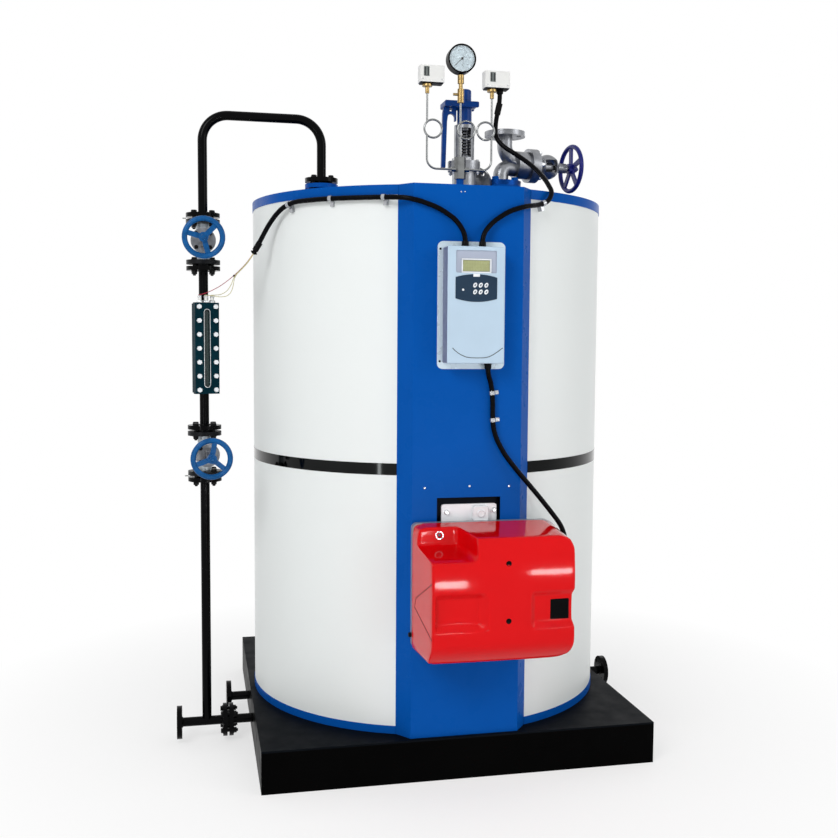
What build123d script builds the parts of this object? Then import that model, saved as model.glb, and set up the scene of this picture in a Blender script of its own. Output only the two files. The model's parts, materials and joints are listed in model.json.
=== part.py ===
from build123d import *
import math

# Vertical steam generator on a channel plinth. Millimetres, +Z up.
# The origin is on the floor, on the boiler's upright axis. The front faces -Y.

# Plinth
plinth_margin = 20.0
plinth_height = 140.0
plinth_forward = 11.0
deck_thick = 6.0
channel_flange = 60.0
channel_web = 7.0
channel_lip = 9.0

# Round casing
casing_radius = 640.0
casing_sheet = 3.0
base_height = 26.0
base_proud = 2.0
crown_top = 1920.0
crown_rim = 31.0
crown_rim_wall = 8.0
crown_sheet = 6.0
crown_proud = 2.0
band_low = 994.0
band_height = 38.0
band_proud = 1.0

# Front pilaster, a closed sheet box that carries the controller and the burner
pilaster_proud = 15.0
pilaster_half = 180.0
pilaster_foot_half = 220.0
pilaster_sheet = 3.0
pilaster_return = 25.0
recess_x = 7.0
recess_width = 211.0
recess_low = 545.0
recess_high = 925.0
recess_depth = 24.0

# Burner
mount_plate_x = 12.0
mount_plate_width = 184.0
mount_plate_low = 565.0
mount_plate_high = 901.0
mount_plate_thick = 10.0
mount_plate_corner = 8.0
burner_neck_radius = 82.0
burner_neck_height = 690.0
chassis_thick = 24.0
cover_left = -164.0
cover_right = 288.0
cover_low = 438.0
cover_high = 832.0
cover_draft_left = 20.0
cover_draft_right = 8.0
cover_draft_high = 18.0
cover_draft_low = 8.0
cover_depth = 215.0
cover_gap = 6.0
cover_wall = 5.0
cover_left_corner = 18.0
cover_high_corner = 46.0
cover_low_corner = 52.0
cover_front_round = 12.0
cover_bevel_height = 62.0
cover_bevel_depth = 52.0
step_right = -36.0
step_low = 773.0
step_depth = 160.0
step_round = 24.0
left_pocket_x = -73.0
left_pocket_z = 610.0
left_pocket_width = 164.0
left_pocket_height = 117.0
left_panel_width = 134.0
left_panel_height = 74.0
left_panel_shift = -11.0
right_pocket_left = 145.0
right_pocket_z = 608.0
right_pocket_height = 116.0
pocket_depth = 7.0
panel_depth = 3.0
pocket_corner = 14.0
pocket_corner_share = 1.8
window_x = 240.0
window_z = 606.0
window_width = 61.0
window_height = 64.0
window_set = 3.0
cover_screw_x = 73.0
cover_screw_low = 579.0
cover_screw_high = 755.0
cover_screw_radius = 9.0
cover_screw_depth = 6.0
finger_high = 701.0
finger_tip_high = 621.0
finger_tip_low = 589.0
finger_low = 529.0
finger_tip_back = 43.0
finger_tip_front = 27.0
finger_depth = 1.5

# Controller
controller_x = 8.0
controller_z = 1540.0
back_plate_width = 221.0
back_plate_height = 403.0
back_plate_thick = 4.0
back_plate_corner = 18.0
housing_width = 186.0
housing_height = 365.0
housing_depth = 61.0
housing_edge = 5.0
housing_front_edge = 4.0
screen_recess_width = 131.0
screen_recess_height = 70.0
screen_recess_z = 135.0
screen_recess_depth = 4.0
display_width = 86.0
display_height = 34.0
display_z = 122.0
display_thick = 2.0
keypad_width = 134.0
keypad_height = 86.0
keypad_z = 53.0
keypad_arch = 10.0
keypad_thick = 1.5

# Pipes and flanges of the level column
pipe_radius = 16.0
pipe_wall = 3.5
flange_radius = 57.5
flange_thick = 18.0
raised_face = 34.0
raised_height = 3.5
flange_pcd = 85.0
flange_hole = 7.0
column_gap = 180.0
column_y = -158.0
arch_rise = 434.0
arch_bend = 88.0
arch_span = 409.0
crown_nozzle_rise = 36.0
valve_length = 160.0
valve_spread = 365.0
lower_valve_turn = 6.0
valve_belly = 34.0
valve_neck = 24.0
bonnet_flange_radius = 42.0
bonnet_flange_reach = 58.0
bonnet_flange_thick = 22.0
yoke_reach = 150.0
yoke_gap = 15.0
yoke_arm = 9.0
yoke_depth = 20.0
yoke_cap = 16.0
stem_radius = 8.0
stem_end = 216.0
wheel_reach = 200.0
wheel_radius = 70.0
wheel_rim = 9.0
upper_wheel_set = 45.0
lower_wheel_set = 80.0
wheel_hub = 16.0
wheel_hub_length = 22.0
wheel_spoke = 17.0
wheel_spoke_thick = 7.0
running_clearance = 0.08
side_neck_share = 0.8
gland_share = 1.6
gland_length_share = 0.33

# Level gauge
gauge_z = 1395.0
gauge_turn = 15.0
chamber_width = 74.0
chamber_depth = 34.0
chamber_height = 308.0
chamber_bore = 10.0
cover_plate_width = 84.0
cover_plate_depth = 26.0
cover_plate_height = 314.0
sight_width = 20.0
sight_height = 268.0
glass_depth = 16.0
glass_fit = 0.3
terminal_radius = 6.0
terminal_height = 24.0
terminal_pitch = 22.0

# Stubs at the plinth
stub_z = 70.0
blow_down_reach = 104.0
tee_gap_reach = 86.0
feed_y = 92.0
feed_reach = 85.0
drain_y = 120.0
drain_reach = 130.0
stub_bend = 40.0
stub_lip_gap = 8.0
weld_clearance = 0.3

# Gauge tree on the crown
manifold_x = 36.0
manifold_y = -380.0
manifold_foot_radius = 13.0
manifold_foot_top = 1977.0
manifold_flats = 35.0
manifold_top = 2050.0
tube_radius = 3.5
tube_bend = 34.0
branch_z = 2009.0
loop_radius = 30.0
loop_offset = 21.0
loop_z = 2142.0
union_radius = 8.0
union_length = 14.0
cock_top = 2324.0
cock_low = 2232.0
cock_radius = 11.0
cock_waist = 7.0
cock_body_share = 0.5
cock_neck_share = 0.7
cock_handle_share = 0.3
cock_handle_length = 26.0
cock_handle_radius = 4.5
gauge_centre_z = 2376.0
gauge_radius = 48.5
gauge_case_depth = 38.0
gauge_bezel = 5.0
dial_set = 6.0
dial_thick = 2.0
switch_height = 55.0
switch_depth = 44.0
switch_edge = 4.0
left_switch_x = -67.0
left_switch_width = 83.0
left_switch_low = 2292.0
left_tube_x = -80.0
right_switch_x = 160.0
right_switch_width = 88.0
right_switch_low = 2286.0
right_tube_x = 146.0
bellows_radius = 17.0
bellows_height = 12.0
bellows_neck = 7.0
bellows_neck_height = 22.0

# Safety valve
safety_x = 95.0
safety_y = -200.0
safety_nozzle_radius = 30.0
safety_inlet_z = 1966.0
safety_body_radius = 42.0
safety_flange_radius = 58.0
safety_flange_z = 2030.0
safety_flange_thick = 34.0
safety_outlet_turn = 50.0
safety_outlet_z = 1998.0
safety_outlet_reach = 105.0
safety_outlet_radius = 31.0
safety_outlet_flange = 62.0
safety_outlet_bore = 25.0
safety_outlet_pcd = 95.0
safety_outlet_hole = 7.0
yoke_radius = 36.0
yoke_bore = 27.0
yoke_top = 2192.0
yoke_window_width = 34.0
yoke_window_low = 2078.0
yoke_window_high = 2180.0
spring_radius = 22.0
spring_wire = 3.5
spring_seat = 25.0
spring_core = 7.0
spring_turns = 9
bonnet_radius = 26.0
bonnet_top = 2274.0
cap_radius = 24.0
cap_top = 2318.0
cap_round = 8.0
pivot_x = 34.0
pivot_z = 2262.0
pivot_radius = 4.0
ear_half = 15.0
ear_height = 18.0
lever_gap = 31.5
lever_cheek = 6.0
lever_height = 20.0
lever_left = -80.0
lever_bridge = 26.0
lever_thick = 16.0
lever_corner = 4.5
lever_hole_x = -51.5
lever_hole_drop = 17.5
lever_hole_radius = 5.5
# The lever's outline: across from the valve's axis, down from the pivot
lever_outer = [
    (-84, 220),
    (-80.5, 30),
    (-77, 8),
    (-70, -4),
    (-58, -9),
    (-46, -8),
    (-38, -5),
    (-31.5, 14),
    (-31.5, 56),
    (-37, 56),
]
lever_arch = [(-37, 44), (-50, 31), (-63, 44)]
lever_inner = [(-65, 60), (-69.5, 220)]

# Steam stop valve
steam_x = 275.0
steam_y = -100.0
steam_turn = 9.0
steam_length = 200.0
steam_stem_drop = 16.0
steam_inlet_shift = -15.0
steam_chamber = 50.0
steam_chamber_start = 40.0
steam_neck_bend = 60.0
steam_face_top = 2196.0
steam_flange_radius = 75.0
steam_flange_thick = 18.0
steam_flange_pcd = 110.0
steam_flange_hole = 9.0
steam_bore = 20.0
steam_neck = 28.0
steam_port_depth = 26.0
steam_bonnet_radius = 62.0
steam_bonnet_reach = 92.0
steam_bonnet_thick = 34.0
steam_bell_reach = 176.0
steam_bell_radius = 46.0
steam_bell_wall = 11.0
steam_bell_window = 46.0
steam_collar_radius = 18.0
steam_collar_reach = 254.0
steam_stem = 9.0
steam_stem_end = 296.0
steam_wheel_reach = 278.0
steam_wheel_radius = 91.0
steam_wheel_rim = 8.5
steam_wheel_set = 90.0
steam_wheel_hub = 19.0
steam_wheel_hub_length = 26.0
steam_wheel_spoke = 18.0
steam_wheel_spoke_thick = 8.0

# Flue outlet at the back
flue_z = 1560.0
flue_radius = 100.0
flue_sheet = 3.0
flue_stand_off = 120.0
flue_flange_radius = 130.0
flue_flange_thick = 8.0

# Conduits and probe wires
conduit_radius = 8.0
clip_thick = 1.5
clip_width = 12.0
clip_clearance = 0.4
clip_foot = 24.0
wall_gap = 0.3
wire_radius = 1.2
wire_rest = 0.3
overrun = 20.0

# Routes on the front: across, out from the pilaster, down from the crown's top
level_front = [(-20, 29, 158), (-46, 19, 114), (-100, 12, 77), (-165, 12, 56), (-205, 1, 47)]
switch_front = [(186, 14, 62), (130, 15, 78), (72, 16, 116), (36, 29, 158)]
burner_front = [
    (58, 29, 594),
    (75, 12, 632),
    (80, 12, 684),
    (80, 12, 722),
    (82, 12, 768),
    (94, 13, 808),
    (120, 17, 856),
    (160, 23, 908),
    (222, 32, 980),
    (276, 35, 1046),
    (310, 35, 1090),
    (326, 35, 1136),
    (326, 35, 1200),
]
# Routes round the casing: along it from the pilaster's foot, out from it, down from the crown's top
level_round = [
    (21.2, 29.5, 43),
    (59.1, 17.7, 41),
    (183.1, 17.2, 40),
    (262.4, 17.2, 39),
    (369.7, 18.0, 40),
    (425.5, 23.0, 56),
    (461.3, 29.0, 82),
    (490.3, 38.0, 116),
    (506.0, 56.0, 162),
    (519.4, 73.5, 204),
]
switch_round = [(90.4, -27.1, -42), (73.7, 20.7, 5), (49.1, 27.5, 38), (8.9, 27.9, 52)]
# From the right pressure switch: across, back, down from its underside
switch_drop = [
    (16, 8, 0),
    (16, 8, 46),
    (6, 20, 105),
    (6, 24, 157),
    (30, 8, 191),
    (78, -30, 229),
    (112, -90, 273),
]
# Probe wires from the conduit's end: across, back, up from the middle of the level gauge's top
wire_red = [
    (163, -124, 163),
    (149, -115, 141),
    (126, -99, 115),
    (101, -81, 91),
    (74, -72, 69),
    (48, -62, 51),
    (22, -51, 38),
    (0, -42, 29),
]
wire_near = [
    (164, -127, 163),
    (149, -118, 139),
    (126, -101, 113),
    (101.6, -83.7, 89),
    (93, -77, 62),
    (80, -67, 40),
    (58, -50, 27),
    (40, -34, 26),
]
wire_far = [
    (166, -124, 163),
    (151, -115, 139),
    (128, -98, 113),
    (103.5, -81, 89),
    (99, -78, 58),
    (92, -72, 34),
    (78, -62, 22),
    (60, -55, 19),
    (44, -48, 20),
    (22, -38, 25),
]
red_end = (-18, -33)
near_end = (24, -21)
far_end = (3, -27)

# Places that follow from the sizes above
plinth_width = 2 * (casing_radius + plinth_margin)
plinth_half = plinth_width / 2
pilaster_reach = casing_radius + pilaster_proud
pilaster_foot_y = -math.sqrt(casing_radius**2 - pilaster_foot_half**2)
notch_y = pilaster_foot_y + pilaster_return
casing_low = plinth_height + base_height
casing_high = crown_top - crown_rim
pilaster_y = -pilaster_reach
recess_floor_y = pilaster_y + recess_depth
mount_plate_y = recess_floor_y - mount_plate_thick
chassis_back_y = pilaster_y - cover_gap
cover_back_y = chassis_back_y - chassis_thick
cover_face_y = cover_back_y - cover_depth
channel_height = plinth_height - deck_thick
pipe_bore = pipe_radius - pipe_wall
column_x = -casing_radius - column_gap
upper_valve_z = gauge_z + valve_spread
lower_valve_z = gauge_z - valve_spread
arch_z = upper_valve_z + arch_rise
crown_nozzle_x = column_x + arch_span
tee_gap_face = plinth_half + tee_gap_reach
feed_face = plinth_half + feed_reach
drain_face = plinth_half + drain_reach
flue_reach = casing_radius + flue_stand_off
loop_cut = math.sqrt(loop_radius**2 - loop_offset**2)


def write(piece, name):
    """Label a finished piece and write its STEP file."""
    piece.part.label = name
    export_step(piece.part, f"parts/{name}.step")


def pilaster_outline():
    """Outer outline of the pilaster, seen from above."""
    points = [
        (-pilaster_foot_half, notch_y),
        (-pilaster_foot_half, pilaster_foot_y),
        (-pilaster_half, pilaster_y),
        (pilaster_half, pilaster_y),
        (pilaster_foot_half, pilaster_foot_y),
        (pilaster_foot_half, notch_y),
    ]
    with BuildSketch(mode=Mode.PRIVATE) as outline:
        with BuildLine():
            Polyline(*points, close=True)
        make_face()
    return outline.sketch


def round_with_notch(height, radius, bore=0.0):
    """A disc or ring round the boiler axis, cut back where the pilaster stands."""
    with BuildSketch(Plane.XY.offset(height), mode=Mode.PRIVATE) as outline:
        Circle(radius)
        if bore > 0:
            Circle(bore, mode=Mode.SUBTRACT)
        with Locations((0, notch_y - radius / 2)):
            Rectangle(2 * pilaster_foot_half, radius, mode=Mode.SUBTRACT)
    return outline.sketch


def flange_face(plane, radius, bore, pcd=0.0, hole=0.0):
    """A round flange's face, with four bolt holes where the flange is open."""
    with BuildSketch(plane, mode=Mode.PRIVATE) as face:
        Circle(radius)
        if bore > 0:
            Circle(bore, mode=Mode.SUBTRACT)
        if pcd > 0:
            with PolarLocations(pcd / 2, 4, start_angle=45):
                Circle(hole, mode=Mode.SUBTRACT)
    return face.sketch


def flange_disc(plane, way):
    """A pipe flange with a raised face on a plane, its back along the normal (1) or against it (-1)."""
    extrude(disc(plane, raised_face), amount=way * flange_thick)
    rim = plane.offset(way * raised_height)
    extrude(disc(rim, flange_radius), amount=way * (flange_thick - raised_height))


def disc(plane, radius):
    """A plain round face."""
    with BuildSketch(plane, mode=Mode.PRIVATE) as face:
        Circle(radius)
    return face.sketch


def slab(plane, width, height, corner=0.0):
    """A plain or round-cornered oblong face."""
    with BuildSketch(plane, mode=Mode.PRIVATE) as face:
        if corner > 0:
            RectangleRounded(width, height, corner)
        else:
            Rectangle(width, height)
    return face.sketch


def front_plane(x, y, z):
    """A plane that looks out of the front, +X to the right and +Z up."""
    return Plane(origin=(x, y, z), x_dir=(1, 0, 0), z_dir=(0, -1, 0))


def side_plane(x, y, z, sign):
    """A plane that looks along -X or +X."""
    return Plane(origin=(x, y, z), x_dir=(0, -sign, 0), z_dir=(sign, 0, 0))


def on_seat(seat, plane):
    """A plane carried along with a piece that is moved and turned."""
    return Plane(seat * plane.location)


def corner_radii(points, share=0.45):
    """The largest arc that each corner's two runs leave room for; an end run serves one corner only."""
    radii = []
    last = len(points) - 3
    for place, (before, point, after) in enumerate(zip(points, points[1:], points[2:])):
        back = Vector(before) - Vector(point)
        ahead = Vector(after) - Vector(point)
        turn = 180.0 - back.get_angle(ahead)
        back_room = back.length * (2 * share if place == 0 else share)
        ahead_room = ahead.length * (2 * share if place == last else share)
        radii.append(min(back_room, ahead_room) / math.tan(math.radians(turn / 2)))
    return radii


def tube_along(points, radius, radii=None):
    """A round tube along straight runs joined by tangent arcs."""
    with BuildPart() as tube:
        with BuildLine() as path:
            FilletPolyline(*points, radius=radii or corner_radii(points))
        start = path.line @ 0
        with BuildSketch(Plane(origin=start, z_dir=path.line % 0)):
            Circle(radius)
        sweep()
    return tube


# Plinth: four channels with their webs outward and mitred corners, a cross member and the deck
def channel_section(plane):
    """A channel's section, with the web at -X of the plane and the foot at zero height."""
    with BuildSketch(plane, mode=Mode.PRIVATE) as section:
        with Locations((channel_flange / 2, channel_height / 2)):
            Rectangle(channel_flange, channel_height)
        inner_height = channel_height - 2 * channel_lip
        with Locations((channel_web + channel_flange / 2, channel_height / 2)):
            Rectangle(channel_flange, inner_height, mode=Mode.SUBTRACT)
    return section.sketch


plinth_middle = Location((0, -plinth_forward, 0))


def plinth_side(turn):
    """One channel of the square frame, mitred at both ends and turned into its place."""
    with BuildPart() as channel:
        start = Plane(origin=(-plinth_half, -plinth_half, 0), x_dir=(0, 1, 0), z_dir=(1, 0, 0))
        extrude(channel_section(start), amount=plinth_width)
        inner_half = plinth_half - channel_flange
        with BuildSketch():
            with BuildLine():
                Polyline(
                    (-plinth_half, -plinth_half), (plinth_half, -plinth_half),
                    (inner_half, -inner_half), (-inner_half, -inner_half), close=True,
                )
            make_face()
        extrude(amount=channel_height, mode=Mode.INTERSECT)
    return plinth_middle * Rot(0, 0, turn) * channel.part


with BuildPart() as plinth_deck:
    with Locations((0, -plinth_forward, plinth_height)):
        Box(plinth_width, plinth_width, deck_thick, align=(Align.CENTER, Align.CENTER, Align.MAX))
write(plinth_deck, "plinth_deck")

with BuildPart() as plinth_front_channel:
    add(plinth_side(0))
write(plinth_front_channel, "plinth_front_channel")

with BuildPart() as plinth_back_channel:
    add(plinth_side(180))
write(plinth_back_channel, "plinth_back_channel")

with BuildPart() as plinth_left_channel:
    add(plinth_side(-90))
    for stub_y in (column_y, feed_y):
        through = side_plane(-plinth_half - overrun, stub_y, stub_z, 1)
        extrude(disc(through, pipe_radius + weld_clearance), amount=2 * overrun, mode=Mode.SUBTRACT)
write(plinth_left_channel, "plinth_left_channel")

with BuildPart() as plinth_right_channel:
    add(plinth_side(90))
    through = side_plane(plinth_half - overrun, drain_y, stub_z, 1)
    extrude(disc(through, pipe_radius + weld_clearance), amount=2 * overrun, mode=Mode.SUBTRACT)
write(plinth_right_channel, "plinth_right_channel")

with BuildPart() as plinth_cross_member:
    cross_x = plinth_half - channel_flange
    start = Plane(origin=(cross_x, channel_flange / 2, 0), x_dir=(0, -1, 0), z_dir=(-1, 0, 0))
    extrude(channel_section(start), amount=2 * cross_x)
write(plinth_cross_member, "plinth_cross_member")

# Round casing: base plate, two sheet shells with a polished band between them, and the crown
with BuildPart() as base_plate:
    extrude(round_with_notch(plinth_height, casing_radius + base_proud), amount=base_height)
write(base_plate, "base_plate")

casing_bore = casing_radius - casing_sheet
with BuildPart() as lower_casing:
    extrude(round_with_notch(casing_low, casing_radius, casing_bore), amount=band_low - casing_low)
write(lower_casing, "lower_casing")

with BuildPart() as casing_band:
    extrude(round_with_notch(band_low, casing_radius + band_proud, casing_bore), amount=band_height)
write(casing_band, "casing_band")

upper_low = band_low + band_height
with BuildPart() as upper_casing:
    extrude(round_with_notch(upper_low, casing_radius, casing_bore), amount=casing_high - upper_low)
    with Locations(Plane(origin=(0, casing_radius, flue_z), z_dir=(0, 1, 0))):
        Cylinder(flue_radius + weld_clearance, 4 * overrun, mode=Mode.SUBTRACT)
write(upper_casing, "upper_casing")

crown_radius = casing_radius + crown_proud
with BuildPart() as crown_plate:
    extrude(round_with_notch(casing_high, crown_radius), amount=crown_rim)
    hollow = crown_radius - crown_rim_wall
    with BuildSketch(Plane.XY.offset(casing_high)):
        Circle(hollow)
        with Locations((0, notch_y + crown_rim_wall - hollow)):
            Rectangle(2 * hollow, 2 * hollow, mode=Mode.SUBTRACT)
    extrude(amount=crown_rim - crown_sheet, mode=Mode.SUBTRACT)
write(crown_plate, "crown_plate")

# Front pilaster with the recess that the burner is bolted into
recess_height = recess_high - recess_low
recess_z = (recess_high + recess_low) / 2
with BuildPart() as front_pilaster:
    with BuildSketch(Plane.XY.offset(plinth_height)):
        add(pilaster_outline())
        offset(pilaster_outline(), amount=-pilaster_sheet, mode=Mode.SUBTRACT)
    extrude(amount=crown_top - plinth_height - pilaster_sheet)
    with BuildSketch(Plane.XY.offset(crown_top - pilaster_sheet)):
        add(pilaster_outline())
    extrude(amount=pilaster_sheet)
    pan = front_plane(recess_x, recess_floor_y + pilaster_sheet, recess_z)
    pan_width = recess_width + 2 * pilaster_sheet
    pan_height = recess_height + 2 * pilaster_sheet
    extrude(slab(pan, pan_width, pan_height), amount=recess_depth)
    floor = front_plane(recess_x, recess_floor_y, recess_z)
    extrude(slab(floor, recess_width, recess_height), amount=recess_depth + overrun, mode=Mode.SUBTRACT)
write(front_pilaster, "front_pilaster")

# Burner: mounting plate, chassis with its neck, and the moulded cover
with BuildPart() as burner_mounting_plate:
    plate_height = mount_plate_high - mount_plate_low
    seat = front_plane(mount_plate_x, recess_floor_y, (mount_plate_high + mount_plate_low) / 2)
    extrude(slab(seat, mount_plate_width, plate_height, mount_plate_corner), amount=mount_plate_thick)
write(burner_mounting_plate, "burner_mounting_plate")


def cover_outline(y, draft_share, inset):
    """The cover's outline at one depth: tight corners at the left, round ones at the right."""
    left = cover_left - draft_share * cover_draft_left + inset
    right = cover_right + draft_share * cover_draft_right - inset
    low = cover_low + draft_share * cover_draft_low + inset
    high = cover_high + draft_share * cover_draft_high - inset
    with BuildSketch(front_plane((left + right) / 2, y, (low + high) / 2), mode=Mode.PRIVATE) as outline:
        Rectangle(right - left, high - low)
        fillet(outline.vertices().group_by(Axis.X)[0], cover_left_corner - inset)
        fillet(outline.vertices().group_by(Axis.X)[-1].sort_by(Axis.Y)[0], cover_low_corner - inset)
        fillet(outline.vertices().group_by(Axis.X)[-1].sort_by(Axis.Y)[-1], cover_high_corner - inset)
    return outline.sketch


with BuildPart() as burner_chassis:
    neck = front_plane(recess_x, mount_plate_y, burner_neck_height)
    extrude(disc(neck, burner_neck_radius), amount=mount_plate_y - chassis_back_y)
    extrude(cover_outline(chassis_back_y, 1, 0), amount=chassis_thick)
write(burner_chassis, "burner_chassis")

step_face_y = cover_face_y + step_depth
step_width = step_right - cover_left + cover_draft_left
step_height = cover_high + cover_draft_high - step_low
with BuildPart() as step_cut:
    with Locations((step_right, step_face_y, step_low)):
        Box(
            2 * step_width, 2 * step_depth, 2 * step_height,
            align=(Align.MAX, Align.MAX, Align.MIN),
        )
    corner = step_cut.vertices().sort_by(Axis.X)[-4:].sort_by(Axis.Y)[-2:].sort_by(Axis.Z)[0]
    fillet([edge for edge in step_cut.edges() if corner in edge.vertices()], step_round)

inner_front_y = cover_face_y + cover_wall + pocket_depth + panel_depth
inner_share = (inner_front_y - cover_face_y) / cover_depth
with BuildPart() as cover_cavity:
    inner_front = cover_outline(inner_front_y, inner_share, cover_wall)
    loft([cover_outline(cover_back_y, 1, cover_wall), inner_front])
    with Locations((step_right + cover_wall, step_face_y + cover_wall, step_low - cover_wall)):
        Box(
            2 * step_width, 2 * step_depth, 2 * step_height,
            align=(Align.MAX, Align.MAX, Align.MIN), mode=Mode.SUBTRACT,
        )
    bevel_inside = cover_bevel_depth + cover_wall
    bevel = Plane(origin=(2 * cover_right, inner_front_y, cover_low), x_dir=(0, 1, 0), z_dir=(-1, 0, 0))
    with BuildSketch(bevel):
        with BuildLine():
            Polyline((0, 0), (bevel_inside, 0), (0, -cover_bevel_height - cover_wall), close=True)
        make_face()
    extrude(amount=4 * cover_right, mode=Mode.SUBTRACT)

with BuildPart() as burner_cover:
    loft([cover_outline(cover_back_y, 1, 0), cover_outline(cover_face_y, 0, 0)])
    fillet(burner_cover.faces().sort_by(Axis.Y)[0].edges(), cover_front_round)
    add(step_cut.part, mode=Mode.SUBTRACT)
    left_pocket = front_plane(left_pocket_x, cover_face_y, left_pocket_z)
    wide_corner = pocket_corner * pocket_corner_share
    left_face = slab(left_pocket, left_pocket_width, left_pocket_height, wide_corner)
    extrude(left_face, amount=-pocket_depth, mode=Mode.SUBTRACT)
    panel = front_plane(left_pocket_x + left_panel_shift, cover_face_y, left_pocket_z)
    panel_face = slab(panel, left_panel_width, left_panel_height, pocket_corner)
    extrude(panel_face, amount=-pocket_depth - panel_depth, mode=Mode.SUBTRACT)
    right_pocket_width = cover_right + overrun - right_pocket_left
    right_pocket = front_plane(right_pocket_left + right_pocket_width / 2, cover_face_y, right_pocket_z)
    right_face = slab(right_pocket, right_pocket_width, right_pocket_height, pocket_corner)
    extrude(right_face, amount=-pocket_depth, mode=Mode.SUBTRACT)
    for screw_z in (cover_screw_low, cover_screw_high):
        screw = front_plane(cover_screw_x, cover_face_y, screw_z)
        extrude(disc(screw, cover_screw_radius), amount=-cover_screw_depth, mode=Mode.SUBTRACT)
    window = front_plane(window_x, cover_face_y, window_z)
    extrude(
        slab(window, window_width, window_height),
        amount=-pocket_depth - window_set,
        mode=Mode.SUBTRACT,
    )
    bevel = Plane(origin=(2 * cover_right, cover_face_y, cover_low), x_dir=(0, 1, 0), z_dir=(-1, 0, 0))
    with BuildSketch(bevel):
        with BuildLine():
            Polyline((0, 0), (cover_bevel_depth, 0), (0, -cover_bevel_height), close=True)
        make_face()
    extrude(amount=4 * cover_right, mode=Mode.SUBTRACT)
    side_run = math.hypot(cover_depth, cover_draft_left)
    left_side = Plane(
        origin=(cover_left - cover_draft_left, cover_back_y, 0),
        x_dir=(cover_draft_left, -cover_depth, 0),
        z_dir=(-cover_depth, -cover_draft_left, 0),
    )
    with BuildSketch(left_side):
        with BuildLine():
            Polyline(
                (side_run + overrun, finger_high), (finger_tip_back, finger_tip_high),
                (finger_tip_front, finger_tip_low), (side_run + overrun, finger_low), close=True,
            )
        make_face()
    extrude(amount=-finger_depth, mode=Mode.SUBTRACT)
    add(cover_cavity.part, mode=Mode.SUBTRACT)
write(burner_cover, "burner_cover")

# Controller on the pilaster
with BuildPart() as controller_back_plate:
    seat = front_plane(controller_x, pilaster_y, controller_z)
    extrude(slab(seat, back_plate_width, back_plate_height, back_plate_corner), amount=back_plate_thick)
write(controller_back_plate, "controller_back_plate")

housing_y = pilaster_y - back_plate_thick
housing_face_y = housing_y - housing_depth
with BuildPart() as controller_housing:
    seat = front_plane(controller_x, housing_y, controller_z)
    extrude(slab(seat, housing_width, housing_height, housing_edge), amount=housing_depth)
    fillet(controller_housing.faces().sort_by(Axis.Y)[0].edges(), housing_front_edge)
    screen = front_plane(controller_x, housing_face_y, controller_z + screen_recess_z)
    extrude(
        slab(screen, screen_recess_width, screen_recess_height, housing_edge),
        amount=-screen_recess_depth,
        mode=Mode.SUBTRACT,
    )
write(controller_housing, "controller_housing")

with BuildPart() as controller_display:
    seat = front_plane(controller_x, housing_face_y + screen_recess_depth, controller_z + display_z)
    extrude(slab(seat, display_width, display_height), amount=display_thick)
write(controller_display, "controller_display")

with BuildPart() as controller_keypad:
    seat = front_plane(controller_x, housing_face_y, controller_z + keypad_z)
    half_width = keypad_width / 2
    half_height = keypad_height / 2
    side_height = half_height - keypad_arch
    with BuildSketch(seat):
        with BuildLine():
            ThreePointArc((-half_width, side_height), (0, half_height), (half_width, side_height))
            Line((half_width, side_height), (half_width, -side_height))
            ThreePointArc((half_width, -side_height), (0, -half_height), (-half_width, -side_height))
            Line((-half_width, -side_height), (-half_width, side_height))
        make_face()
    extrude(amount=keypad_thick)
write(controller_keypad, "controller_keypad")


# Globe valves: body with two flanges, bonnet with its yoke, and the handwheel
def valve_seat(x, y, z, turn):
    """The valve's own frame: flow along Z, stem along X."""
    return Location((x, y, z), (0, 0, turn))


def valve_body(seat, length, belly, neck, bonnet, reach, bonnet_thick):
    """Globe body with two end flanges and the lower half of the bonnet joint."""
    with BuildPart() as body:
        low = on_seat(seat, Plane.XY.offset(-length / 2))
        high = on_seat(seat, Plane.XY.offset(length / 2))
        flange_disc(low, 1)
        flange_disc(high, -1)
        with BuildSketch(on_seat(seat, Plane.XZ)) as profile:
            with BuildLine():
                shoulder = length / 2 - flange_thick
                Line((0, -shoulder), (neck, -shoulder))
                Line((neck, -shoulder), (neck, -belly))
                ThreePointArc((neck, -belly), (belly, 0), (neck, belly))
                Line((neck, belly), (neck, shoulder))
                Line((neck, shoulder), (0, shoulder))
                Line((0, shoulder), (0, -shoulder))
            make_face()
        revolve(profile.sketch, axis=Axis(seat.position, (0, 0, 1)))
        side = on_seat(seat, Plane.YZ)
        extrude(disc(side, belly * side_neck_share), amount=reach)
        extrude(disc(side.offset(reach), bonnet), amount=bonnet_thick / 2)
    return body


def valve_bonnet(seat, bonnet, reach, bonnet_thick, yoke_end, gap, arm, depth, cap, stem, stem_to):
    """Upper half of the bonnet joint, two yoke arms, their cap and the stem."""
    with BuildPart() as yoke:
        side = on_seat(seat, Plane.YZ)
        joint = side.offset(reach + bonnet_thick / 2)
        extrude(disc(joint, bonnet), amount=bonnet_thick / 2)
        foot = side.offset(reach + bonnet_thick)
        arm_length = yoke_end - reach - bonnet_thick
        with BuildSketch(foot):
            for side_sign in (-1, 1):
                with Locations((0, side_sign * (gap + arm / 2))):
                    Rectangle(depth, arm)
        extrude(amount=arm_length)
        extrude(slab(side.offset(yoke_end), depth, 2 * (gap + arm)), amount=-cap)
        extrude(disc(foot, stem * gland_share), amount=arm_length * gland_length_share)
        extrude(disc(foot, stem), amount=stem_to - reach - bonnet_thick)
    return yoke


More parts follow.
